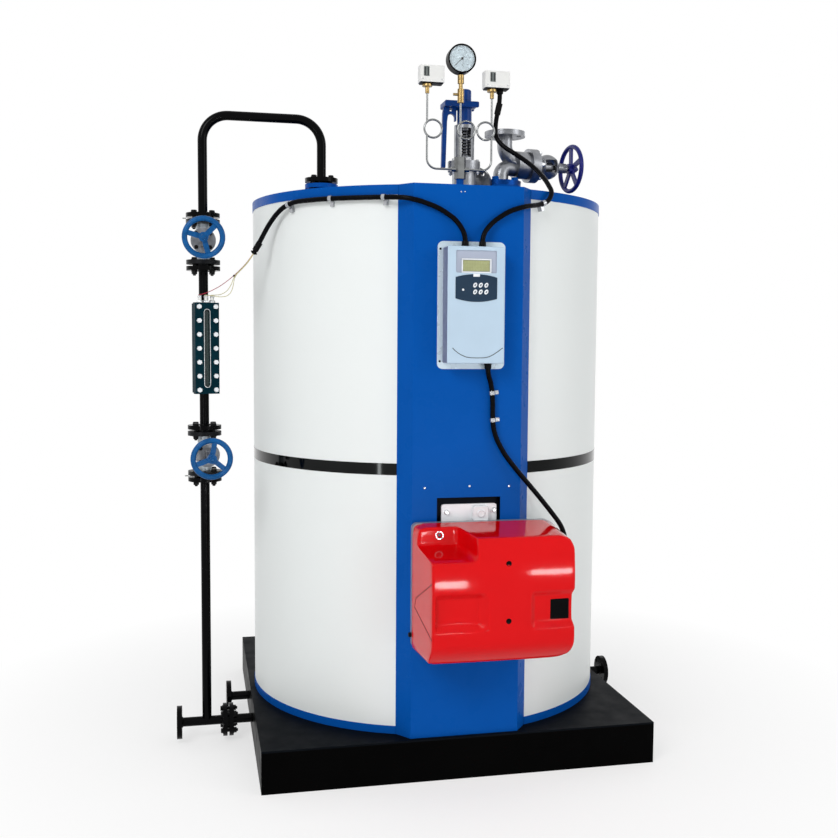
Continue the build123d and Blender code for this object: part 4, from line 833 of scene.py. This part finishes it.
def build_flange_bolts():
    """Bolts through the flanged joints of the pipes and valves."""
    sizes = bpy.context.scene.steam_sizes
    heads, nuts = [], []
    joints = [(COLUMN + UP * z, UP) for z in COLUMN_JOINTS]
    joints += [(mm(-411, -158, 1974), UP), (mm(-746, -158, 70), LEFT)]
    for middle, axis in joints:
        some_heads, some_nuts = joint_seats(middle, axis, PIPE_CIRCLE, count=4, start=45, half=PIPE_HALF)
        heads += some_heads
        nuts += some_nuts
    joint_bolts("flange_bolt", hex_head(sizes.flange_bolt, 0.0062), hex_nut(sizes.flange_bolt, 0.0085),
                (heads, nuts), "bolt_black")
    stud = lathe([(0, 0), (0.0058, 0), (0.0058, 2 * PIPE_HALF), (0, 2 * PIPE_HALF)], sides=12)
    scatter("flange_studs", stud, [(spot, -way) for spot, way in nuts], "bolt_black")
    inlet = joint_seats(STEAM_AXIS - STEM_WAY * 0.015 + UP * STEAM_INLET, UP,
                        radius=0.055, count=4, start=54, half=0.018)
    joint_bolts("steam_bolt", hex_head(sizes.steam_bolt, 0.010), hex_nut(sizes.steam_bolt, 0.013),
                inlet, "boiler_blue")
    safety = joint_seats(SAFETY_AXIS + UP * SAFETY_JOINT, UP, radius=0.050, count=6, start=30, half=0.017)
    joint_bolts("safety_bolt", hex_head(sizes.bonnet_bolt, 0.007, washer=False),
                hex_nut(sizes.bonnet_bolt * 0.9, 0.007), safety, "bolt_zinc")


def build_valve_fittings():
    """Bonnet bolts, gasket tabs, weld beads and the nuts that hold the handwheels."""
    sizes = bpy.context.scene.steam_sizes
    stems = {
        "upper_wheel": (COLUMN + UP * UPPER_VALVE, FRONT, 0.211),
        "lower_wheel": (COLUMN + UP * LOWER_VALVE, LOWER_WAY, 0.211),
        "steam_wheel": (STEAM_AXIS + UP * STEAM_STEM, STEM_WAY, 0.291),
    }
    seats = []
    for body in ("upper_wheel", "lower_wheel"):
        middle, way, _ = stems[body]
        seats += round_seats(middle + way * 0.080, way, radius=0.033, count=4, start=math.pi / 4)
    scatter("gauge_bonnet_bolts", hex_head(sizes.bonnet_bolt, 0.007, washer=False), seats,
            "bolt_black", turn=HEX_TURN)
    middle, way, _ = stems["steam_wheel"]
    seats = round_seats(middle + way * 0.126, way, radius=0.0525, count=6, start=0)
    scatter("steam_bonnet_bolts", hex_nut(sizes.bonnet_bolt * 1.1, 0.009), seats,
            "bolt_zinc", turn=HEX_TURN)
    for body, (middle, way, reach) in stems.items():
        large = body == "steam_wheel"
        enamel = "wheel_dark_blue" if large else "wheel_blue"
        flats = sizes.bonnet_bolt * (1.5 if large else 1.2)
        scatter(body + "_nut", hex_nut(flats, 0.009), [(middle + way * reach, way)], enamel, body)
    tabs = bmesh.new()
    for z in (COLUMN_JOINTS[0], COLUMN_JOINTS[-1]):
        plate(tabs, facing(COLUMN + LEFT * 0.0565 + UP * z, LEFT),
              width=0.016, height=0.0030, thick=0.012, corner=0.0012, edge=0.0006)
    piece_from(tabs, "gasket_tabs", "gasket_grey")
    bead = lathe([(0, -0.001), (0.0195, -0.001), (0.0192, 0.0012), (0.0172, 0.0034), (0.0158, 0.004), (0, 0.004)])
    welds = [(COLUMN + UP * z, way) for z, way in (
        (1.858, UP), (1.662, DOWN), (1.549, UP), (1.241, DOWN), (1.128, UP), (0.932, DOWN))]
    welds += [(mm(-411, -158, 1992), UP), (mm(-411, -158, 1920), UP), (mm(-764, -158, 70), LEFT),
              (mm(-906, -158, 70), RIGHT), (mm(-727, 92, 70), RIGHT), (mm(772, 120, 70), LEFT)]
    scatter("weld_beads", bead, welds, "pipe_black")


def build_level_gauge():
    """Bolts and sight rim of the level gauge's cover, and the nuts and caps of its terminals."""
    sizes = bpy.context.scene.steam_sizes
    side = Vector((math.cos(GAUGE_TURN), math.sin(GAUGE_TURN), 0))
    middle = COLUMN + UP * GAUGE_MIDDLE
    seats = [(middle + GAUGE_WAY * 0.043 + side * across + UP * (row * 0.1430 / 3), GAUGE_WAY)
             for row in range(-3, 4) for across in (-0.028, 0.030)]
    scatter("gauge_cover_bolts", hex_head(sizes.gauge_bolt, 0.008, washer=False), seats,
            "key_pale", turn=HEX_TURN)
    slot_radius, slot_half = 0.0105, 0.124
    edge = []
    for step in range(49):
        angle = 2 * math.pi * step / 48
        level = slot_half if 0 < step < 24 else -slot_half
        edge.append(middle + GAUGE_WAY * 0.0428 + side * (slot_radius * math.cos(angle))
                    + UP * (level + slot_radius * math.sin(angle)))
    piece_of("gauge_sight_rim", "bolt_zinc", "terminal_plated", ribbon, edge,
             width=0.0016, thick=0.0010, out=GAUGE_WAY)
    feet = [middle + GAUGE_WAY * 0.030 + side * across + UP * 0.157 for across in (-0.022, 0, 0.022)]
    scatter("terminal_nuts", hex_head(0.017, 0.006), [(foot, UP) for foot in feet],
            "bolt_zinc", turn=HEX_TURN)
    cap = lathe([(0, 0), (0.0072, 0), (0.0072, 0.0045), (0.0060, 0.0058), (0, 0.0058)], sides=16)
    scatter("terminal_caps", cap, [(foot + UP * 0.0170, UP) for foot in feet], "bolt_zinc")


def dial_number(bm, text, place, size):
    """A raised number on a dial."""
    curve = bpy.data.curves.new("number", "FONT")
    curve.body = text
    curve.size = size
    curve.align_x = "CENTER"
    curve.align_y = "CENTER"
    curve.extrude = 0.0001
    curve.resolution_u = 3
    holder = link("number", curve)
    graph = bpy.context.evaluated_depsgraph_get()
    mesh = bpy.data.meshes.new_from_object(holder.evaluated_get(graph), depsgraph=graph)
    mesh.transform(place)
    bm.from_mesh(mesh)
    bpy.data.objects.remove(holder)
    bpy.data.meshes.remove(mesh)


def build_pressure_gauge():
    """Scale, numbers, pointer and glass of the pressure gauge."""
    ticks = bpy.context.scene.steam_sizes.dial_ticks
    dial = facing(MANIFOLD + mm(0, -15, 2376), FRONT)
    low, sweep = math.radians(225), math.radians(270)
    ink_thick, number_radius, number_size, pointer_lift = 0.0002, 0.0280, 0.0062, 0.0008

    def spot(radius, turn, lift=0.0):
        return dial @ polar(radius, turn, lift)

    ink = bmesh.new()
    for step in range(ticks):
        turn = low - sweep * step / (ticks - 1)
        inner, width = (0.0345, 0.0007) if step % 10 == 0 else (0.0370, 0.0003)
        ribbon(ink, [spot(inner, turn), spot(0.0395, turn)], width, ink_thick, FRONT)
    arc = [spot(0.0397, low - sweep * step / 60) for step in range(61)]
    ribbon(ink, arc, width=0.0004, thick=ink_thick, out=FRONT)
    for step in range(6):
        turn = low - sweep * step / 5
        place = dial @ Matrix.Translation(polar(number_radius, turn, 0.0001))
        dial_number(ink, str(2 * step), place, number_size)
    bmesh.ops.remove_doubles(ink, verts=ink.verts, dist=0.00001)
    piece_from(ink, "dial_marks", "ink_grey")
    pointer = bmesh.new()
    ribbon(pointer, [spot(radius, low, pointer_lift) for radius in (-0.012, 0, 0.034)],
           width=0.0015, thick=0.0004, out=FRONT)
    turned(pointer, [(0, 0), (0.0042, 0), (0.0042, 0.0014), (0.0034, 0.002), (0, 0.002)], dial)
    piece_from(pointer, "dial_pointer", "ink_black")
    ring = [dial @ Vector((0.0045 + 0.0035 * math.cos(a), -0.021 + 0.0035 * math.sin(a), 0))
            for a in (math.radians(40 + 7 * step) for step in range(41))]
    piece_of("dial_ring", "ink_black", "gauge_steel", ribbon, ring, width=0.0007, thick=ink_thick, out=FRONT)
    profile = [(0, 0), (0.0432, 0), (0.0432, 0.0008), (0.028, 0.0013), (0, 0.0016)]
    piece_of("dial_glass", "dial_glass", "sight_glass", turned, profile,
             dial @ Matrix.Translation((0, 0, 0.0022)), sides=64)


def build_switches():
    """Windows, scales, a thin black plate under each, screws and lead sleeve of the pressure switches."""
    windows, scales, feet, screws = bmesh.new(), bmesh.new(), bmesh.new(), []
    for centre, window, low, width in ((-67, -87, 2292, 83), (160, 143, 2286, 88)):
        place = facing(mm(window, SWITCH_FACE, low + 34), FRONT)
        plate(windows, place, width=0.019, height=0.032, thick=0.0012, corner=0.002, edge=0.0004)
        for across in (-0.0052, 0.0052):
            plate(scales, place @ Matrix.Translation((across, 0, 0.0012)),
                  width=0.0034, height=0.0265, thick=0.0004, corner=0.0006, edge=0.0002)
        # A thin black plate under each switch, which darkens its underside
        plate(feet, facing(mm(centre, -380, low), DOWN),
              width=width / 1000 - 0.006, height=0.038, thick=0.004, corner=0.003, edge=0.0006)
        screws += [(mm(centre + side * (width / 2 - 9), SWITCH_FACE, low + 9), FRONT) for side in (-1, 1)]
    piece_from(windows, "switch_windows", "window_grey")
    piece_from(scales, "switch_scales", "ink_black")
    piece_from(feet, "switch_feet", "rubber_black")
    scatter("switch_screws", round_screw(0.0026), screws, "bolt_zinc")
    sleeve = bmesh.new()
    tube(sleeve, [mm(176, -372, 2240), mm(173, -368.4, 2224), mm(169.5, -364.2, 2203)], radius=0.0108, sides=16)
    turned(sleeve, [(0, 0), (0.0115, 0), (0.0115, 0.009), (0.0100, 0.011), (0, 0.011)],
           facing(mm(176, -372, 2282), DOWN))
    piece_from(sleeve, "switch_lead_sleeve", "rubber_black")


def lead_gland(bm, place, way, radius=0.0125, length=0.018):
    """A cable gland round a lead."""
    here = facing(place, way)
    turned(bm, [(0, 0), (radius, 0), (radius, length * 0.35), (0, length * 0.35)], here, sides=6)
    turned(bm, [(0, length * 0.3), (radius * 0.9, length * 0.3), (radius * 0.9, length * 0.85),
                (radius * 0.8, length), (0, length)], here, sides=20)


def build_controller():
    """Keys, trim, screws and glands of the controller."""
    keys, faces = bmesh.new(), bmesh.new()
    keypad_face, key_lean = CONTROLLER_FACE - 1.5, math.radians(-30)
    outline = [(0.0058 * math.cos(a), 0.0082 * math.sin(a)) for a in (math.pi * s / 12 for s in range(24))]
    inner = [(x * 0.82, y * 0.86) for x, y in outline]
    core = [(x * 0.42, y * 0.5) for x, y in outline]
    for key_x in (3.6, 21.6, 39.8):
        for key_z in (1602, 1581):
            place = facing(mm(key_x, keypad_face, key_z), FRONT) @ Matrix.Rotation(key_lean, 4, "Z")
            stacked(keys, [(outline, 0), (outline, 0.0007), (inner, 0.0012)], place)
            stacked(faces, [(core, 0.0011), (core, 0.0014)], place)
    turned(keys, [(0, 0), (0.0036, 0), (0.0036, 0.0010), (0.0028, 0.0018), (0, 0.0020)],
           facing(mm(-35, keypad_face, 1587), FRONT))
    piece_from(keys, "controller_key_caps", "key_pale")
    piece_from(faces, "controller_key_marks", "ink_grey")
    piece_of("controller_blank_plate", "key_pale", "controller_grey", plate,
             facing(mm(8, CONTROLLER_FACE - 0.5, 1633), FRONT),
             width=0.021, height=0.010, thick=0.0022, corner=0.0012, edge=0.0005)
    path = ((-67, 1406), (-60, 1399), (-50, 1391), (-38, 1384), (-24, 1378), (-8, 1375.5), (14, 1375), (36, 1375.5),
            (52, 1379), (66, 1386), (80, 1395), (96, 1407))
    piece_of("controller_trim_line", "ink_black", "controller_keys", ribbon,
             [mm(x, CONTROLLER_FACE, z) for x, z in path], width=0.0022, thick=0.0004, out=FRONT)
    rim = bmesh.new()
    screen = facing(mm(8, CONTROLLER_FACE, 1662), FRONT)
    for across, rise, width, height in ((-0.046, 0, 0.004, 0.040), (0.046, 0, 0.004, 0.040),
                                        (0, -0.020, 0.096, 0.004), (0, 0.020, 0.096, 0.004)):
        plate(rim, screen @ Matrix.Translation((across, rise, 0)), width, height,
              thick=0.0012, corner=0.0008, edge=0.0004)
    piece_from(rim, "controller_screen_rim", "key_pale")
    corners = [(mm(8 + side * 102, BACK_PLATE_FACE, 1540 + up * 177), FRONT) for side in (-1, 1) for up in (-1, 1)]
    scatter("controller_screws", round_screw(0.0036), corners, "bolt_black")
    glands = bmesh.new()
    for x, z, way in ((-20, 1722.5, UP), (36, 1722.5, UP), (58, 1357.5, DOWN)):
        lead_gland(glands, mm(x, -684, z), way)
    piece_from(glands, "controller_glands", "rubber_black")


def build_casing():
    """Screws of the pilaster, and the lap seam and band joint at the back."""
    sizes = bpy.context.scene.steam_sizes
    seats = [(mm(x, PILASTER_FACE, z), FRONT) for x, z in ((-139, 958), (9, 961), (141.6, 958))]
    scatter("pilaster_screws", round_screw(sizes.sheet_screw), seats, "bolt_zinc")
    small = [(mm(x, PILASTER_FACE, z), FRONT) for x, z in ((-27, 1897), (-15, 1898))]
    scatter("pilaster_rivets", round_screw(sizes.sheet_screw * 0.55), small, "bolt_zinc")
    out = Vector((math.cos(SEAM_TURN), math.sin(SEAM_TURN), 0))
    side = UP.cross(out)
    seam, rivets, count = bmesh.new(), [], 8
    for low, high in ((0.168, 0.990), (1.036, 1.886)):
        ribbon(seam, [out * (CASING_RADIUS - 0.0004) + UP * z for z in (low, high)],
               width=0.026, thick=0.0016, out=out)
        rivets += [(out * (CASING_RADIUS + 0.0012) + UP * (low + (high - low) * (step + 0.5) / count), out)
                   for step in range(count)]
    piece_from(seam, "casing_seam", "casing_white")
    scatter("casing_rivets", round_screw(0.0042), rivets, "casing_white")
    piece_of("band_joint", "band_steel", "band_steel", plate,
             facing(out * (CASING_RADIUS + 0.0008) + UP * BAND_MIDDLE, out),
             width=0.060, height=0.034, thick=0.003, corner=0.003, edge=0.0008)
    ends = [(out * (CASING_RADIUS + 0.0038) + side * across + UP * BAND_MIDDLE, out) for across in (-0.020, 0.020)]
    scatter("band_screws", round_screw(0.0045), ends, "bolt_zinc")


def ramp(value, start, end):
    """Zero before the start, one past the end and a straight slope between."""
    return min(1.0, max(0.0, (value - start) / (end - start)))


def cover_set(x, z):
    """How far the moulded face lies behind its foremost plane."""
    lean = (TOP_LEAN * ramp(z, 640, 832) ** 2 + FOOT_ROLL * ramp(z, 506, 438) ** 1.5
            + SIDE_BOW * ((x - 62) / 226) ** 2)
    level = min(ramp(z, 552, 569), ramp(z, 667, 651))
    left = min(level, ramp(x, -154, -149), ramp(x, 9, -17))
    right = min(level, ramp(x, 145, 158))
    step = min(ramp(x, -24, -47), ramp(z, 765, 786))
    return lean + LEFT_POCKET * left + RIGHT_POCKET * right + (COVER_STEP - COVER_FACE - lean) * step


def cover_place(across, up):
    """Where two lines of the cover's cage cross, with the outline's corners rounded."""
    x, z = COVER_ACROSS[across], COVER_UP[up]
    for middle_x, middle_z, side, rise in COVER_CORNERS:
        out, lift = (x - middle_x) * side, (z - middle_z) * rise
        if out > 0 and lift > 0:
            scale = max(out, lift) / math.hypot(out, lift)
            return middle_x + side * out * scale, middle_z + rise * lift * scale
    return x, z


def cover_point(across, up, behind):
    """A point of the cover's cage at a depth behind the foremost plane, with the sides' draft."""
    x, z = cover_place(across, up)
    share = behind / COVER_DEPTH
    waist = min(ramp(z, 547, 575), ramp(z, 672, 645))
    x -= WAIST_DEPTH * waist * ramp(COVER_ACROSS[across], 258, 280)
    if across == 0:
        x -= LEFT_DRAFT * share
    if across == len(COVER_ACROSS) - 1:
        x += RIGHT_DRAFT * share
    if up == 0:
        z += FOOT_DRAFT * share
    if up == len(COVER_UP) - 1:
        z += TOP_DRAFT * share
    return mm(x, COVER_FACE + behind, z)


def build_cover():
    """The moulded burner cover: a subdivided cage with its pockets, step and rolled foot."""
    bm = bmesh.new()
    columns, rows = len(COVER_ACROSS), len(COVER_UP)
    depth = [[cover_set(*cover_place(i, j)) for j in range(rows)] for i in range(columns)]
    grid = [[bm.verts.new(cover_point(i, j, depth[i][j])) for j in range(rows)] for i in range(columns)]
    for i in range(columns - 1):
        for j in range(rows - 1):
            bm.faces.new((grid[i][j], grid[i + 1][j], grid[i + 1][j + 1], grid[i][j + 1]))
    rim = [(i, 0) for i in range(columns)] + [(columns - 1, j) for j in range(1, rows)]
    rim += [(i, rows - 1) for i in range(columns - 2, -1, -1)] + [(0, j) for j in range(rows - 2, 0, -1)]
    front = [grid[i][j] for i, j in rim]
    for share in (0.06, 0.5, 0.96, 1.0):
        back = [bm.verts.new(cover_point(i, j, depth[i][j] + (COVER_DEPTH - depth[i][j]) * share)) for i, j in rim]
        for step in range(len(rim)):
            after = (step + 1) % len(rim)
            bm.faces.new((front[after], front[step], back[step], back[after]))
        front = back
    cage = bpy.data.meshes.new("burner_cover_cage")
    bm.to_mesh(cage)
    bm.free()
    holder = link("burner_cover_cage", cage)
    smooth = holder.modifiers.new("round", "SUBSURF")
    smooth.levels = smooth.render_levels = 2
    shaped = bpy.data.meshes.new_from_object(holder.evaluated_get(bpy.context.evaluated_depsgraph_get()))
    bpy.data.objects.remove(holder)
    bm = bmesh.new()
    bm.from_mesh(shaped)
    bmesh.ops.holes_fill(bm, edges=[edge for edge in bm.edges if edge.is_boundary], sides=0)
    cover = piece_from(bm, "burner_cover_moulding", "burner_red")
    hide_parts("burner_cover")
    side, back = [(206, 701), (43, 621), (27, 589), (206, 529)], COVER_ACROSS[0] - LEFT_DRAFT
    points = [mm(back + LEFT_DRAFT * along / COVER_DEPTH, COVER_FACE + COVER_DEPTH - along, z)
              for along, z in side]
    piece_of("burner_cover_seam", "burner_seam", "burner_red", ribbon, points,
             width=0.0022, thick=0.0008, out=Vector((-COVER_DEPTH, -LEFT_DRAFT, 0)).normalized())


def on_cover(x, z, sunk=0.0):
    """A frame on the moulded cover's front."""
    return facing(mm(x, COVER_FACE + cover_set(x, z) + sunk, z), FRONT)


def build_burner():
    """Moulded cover, dark discs painted as the shade in its screw holes, a pale ring painted as the highlight on its
    boss, screws, window, sight cap and gland of the burner.
    """
    build_cover()
    # Painted shade: a dark disc on the cover's face at each of its two screw holes, for the shade inside the hole
    hole_shades = bmesh.new()
    profile = [(0, -0.002), (0.0085, -0.002), (0.0085, 0.0004), (0.0076, 0.0008), (0.0060, 0.0003), (0, 0.0003)]
    for z in (579, 755):
        turned(hole_shades, profile, on_cover(73, z), sides=28)
    piece_from(hole_shades, "burner_cover_screws", "window_black")
    piece_of("burner_window", "window_black", "burner_grey", plate, on_cover(240, 606, sunk=1.5),
             width=0.0600, height=0.0630, thick=0.0032, corner=0.003, edge=0.0008)
    # Painted highlight: a pale steel ring round the boss on the step, for the highlight on the red boss's rim
    circle = [2 * math.pi * step / 32 for step in range(33)]
    ring = [mm(-109 + 11.5 * math.cos(a), COVER_STEP, 820 + 11.5 * math.sin(a)) for a in circle]
    piece_of("burner_boss", "clip_steel", "clip_steel", ribbon, ring, width=0.0036, thick=0.0024, out=FRONT)
    scatter("burner_boss_screw", round_screw(0.0052), [(mm(-109, COVER_STEP, 820), FRONT)],
            "spring_steel")
    seats = [(mm(x, PLATE_FACE, z), FRONT) for x, z in ((-63, 876), (95, 880))]
    scatter("burner_plate_bolts", hex_head(0.013, 0.007), seats, "bolt_zinc", turn=HEX_TURN)
    piece_of("burner_sight_cap", "sight_cap", "sight_glass", plate, facing(mm(47.5, PLATE_FACE, 870), FRONT),
             width=0.055, height=0.054, thick=0.019, corner=0.013, edge=0.004)
    profile = [(0, 0), (0.013, 0), (0.013, 0.003), (0.010, 0.005), (0.008, 0.003), (0, 0.003)]
    piece_of("burner_sight_ring", "sight_cap", "sight_glass", turned, profile,
             facing(mm(47.5, PLATE_FACE - 19, 872), FRONT), sides=24)
    piece_of("burner_gland", "rubber_black", "conduit_black", lead_gland, mm(-184, -673, 489), LEFT,
             radius=0.0085, length=0.009)


def build_leads():
    """Sleeve, collar and tie where the level conduit ends and the wires leave it."""
    sleeve = bmesh.new()
    runs = (
        (0.0104, ((-634, -290.5, 1753), (-643, -287.5, 1738), (-650, -285, 1726))),
        (0.0070, ((-649, -285.4, 1728), (-653, -284, 1720), (-656, -283, 1715))),
        (0.0118, ((-652.5, -284.2, 1721), (-654.5, -283.5, 1717.5))),
    )
    for radius, route in runs:
        tube(sleeve, [mm(*place) for place in route], radius, sides=16)
    piece_from(sleeve, "level_lead_sleeve", "rubber_black")
    way, middle = mm(-25, 17, -24).normalized(), mm(-718, -240, 1642)
    piece_of("wire_tie", "rubber_black", "conduit_black", tube,
             [middle - way * 0.0022, middle + way * 0.0022], radius=0.0042, sides=14)


class STEAM_OT_stage(bpy.types.Operator):
    """Camera, floor and soft lamps"""

    bl_idname = "steam.stage"
    bl_label = "Stage"

    def execute(self, context):
        build_stage()
        return {"FINISHED"}


class STEAM_OT_finishes(bpy.types.Operator):
    """Finishes of all the solids"""

    bl_idname = "steam.finishes"
    bl_label = "Finishes"

    def execute(self, context):
        paint_solids()
        return {"FINISHED"}


class STEAM_OT_wires(bpy.types.Operator):
    """Probe wires between the conduit and the level gauge"""

    bl_idname = "steam.wires"
    bl_label = "Probe wires"

    def execute(self, context):
        build_wires()
        return {"FINISHED"}


class STEAM_OT_flange_bolts(bpy.types.Operator):
    """Bolts of the flanged joints"""

    bl_idname = "steam.flange_bolts"
    bl_label = "Flange bolts"

    def execute(self, context):
        build_flange_bolts()
        return {"FINISHED"}


class STEAM_OT_valve_fittings(bpy.types.Operator):
    """Bonnet bolts, welds and handwheel nuts"""

    bl_idname = "steam.valve_fittings"
    bl_label = "Valve fittings"

    def execute(self, context):
        build_valve_fittings()
        return {"FINISHED"}


class STEAM_OT_level_gauge(bpy.types.Operator):
    """Bolts, sight rim and terminal nuts of the level gauge"""

    bl_idname = "steam.level_gauge"
    bl_label = "Level gauge"

    def execute(self, context):
        build_level_gauge()
        return {"FINISHED"}


class STEAM_OT_pressure_gauge(bpy.types.Operator):
    """Scale, pointer and glass of the pressure gauge"""

    bl_idname = "steam.pressure_gauge"
    bl_label = "Pressure gauge"

    def execute(self, context):
        build_pressure_gauge()
        return {"FINISHED"}


class STEAM_OT_switches(bpy.types.Operator):
    """Windows, black plates underneath and lead sleeve of the pressure switches"""

    bl_idname = "steam.switches"
    bl_label = "Pressure switches"

    def execute(self, context):
        build_switches()
        return {"FINISHED"}


class STEAM_OT_controller(bpy.types.Operator):
    """Keys, trim and glands of the controller"""

    bl_idname = "steam.controller"
    bl_label = "Controller"

    def execute(self, context):
        build_controller()
        return {"FINISHED"}


class STEAM_OT_casing(bpy.types.Operator):
    """Screws, seam and band joint of the casing"""

    bl_idname = "steam.casing"
    bl_label = "Casing"

    def execute(self, context):
        build_casing()
        return {"FINISHED"}


class STEAM_OT_burner(bpy.types.Operator):
    """Moulded cover, screws, window and sight cap of the burner"""

    bl_idname = "steam.burner"
    bl_label = "Burner"

    def execute(self, context):
        build_burner()
        return {"FINISHED"}


class STEAM_OT_leads(bpy.types.Operator):
    """Sleeve and tie of the level conduit's end"""

    bl_idname = "steam.leads"
    bl_label = "Leads"

    def execute(self, context):
        build_leads()
        return {"FINISHED"}


PIECES = (
    STEAM_OT_stage, STEAM_OT_finishes, STEAM_OT_wires, STEAM_OT_flange_bolts, STEAM_OT_valve_fittings,
    STEAM_OT_level_gauge, STEAM_OT_pressure_gauge, STEAM_OT_switches, STEAM_OT_controller, STEAM_OT_casing,
    STEAM_OT_burner, STEAM_OT_leads,
)


class STEAM_PT_panel(bpy.types.Panel):
    """Lists the pieces and their settings"""

    bl_idname = "STEAM_PT_panel"
    bl_label = "Steam generator"
    bl_space_type = "VIEW_3D"
    bl_region_type = "UI"
    bl_category = "Steam generator"

    def draw(self, context):
        for piece in PIECES:
            self.layout.operator(piece.bl_idname)
        for group in (context.scene.steam_sizes, context.scene.steam_colours):
            for name in group.__annotations__:
                self.layout.prop(group, name)


CLASSES = (SteamColours, SteamSizes, *PIECES, STEAM_PT_panel)


def register():
    for entry in CLASSES:
        bpy.utils.register_class(entry)
    bpy.types.Scene.steam_colours = bpy.props.PointerProperty(type=SteamColours)
    bpy.types.Scene.steam_sizes = bpy.props.PointerProperty(type=SteamSizes)


def unregister():
    del bpy.types.Scene.steam_sizes
    del bpy.types.Scene.steam_colours
    for entry in reversed(CLASSES):
        bpy.utils.unregister_class(entry)


def main():
    """Dress the model piece by piece."""
    register()
    for piece in PIECES:
        group, name = piece.bl_idname.split(".")
        getattr(getattr(bpy.ops, group), name)()


if __name__ == "__main__":
    main()
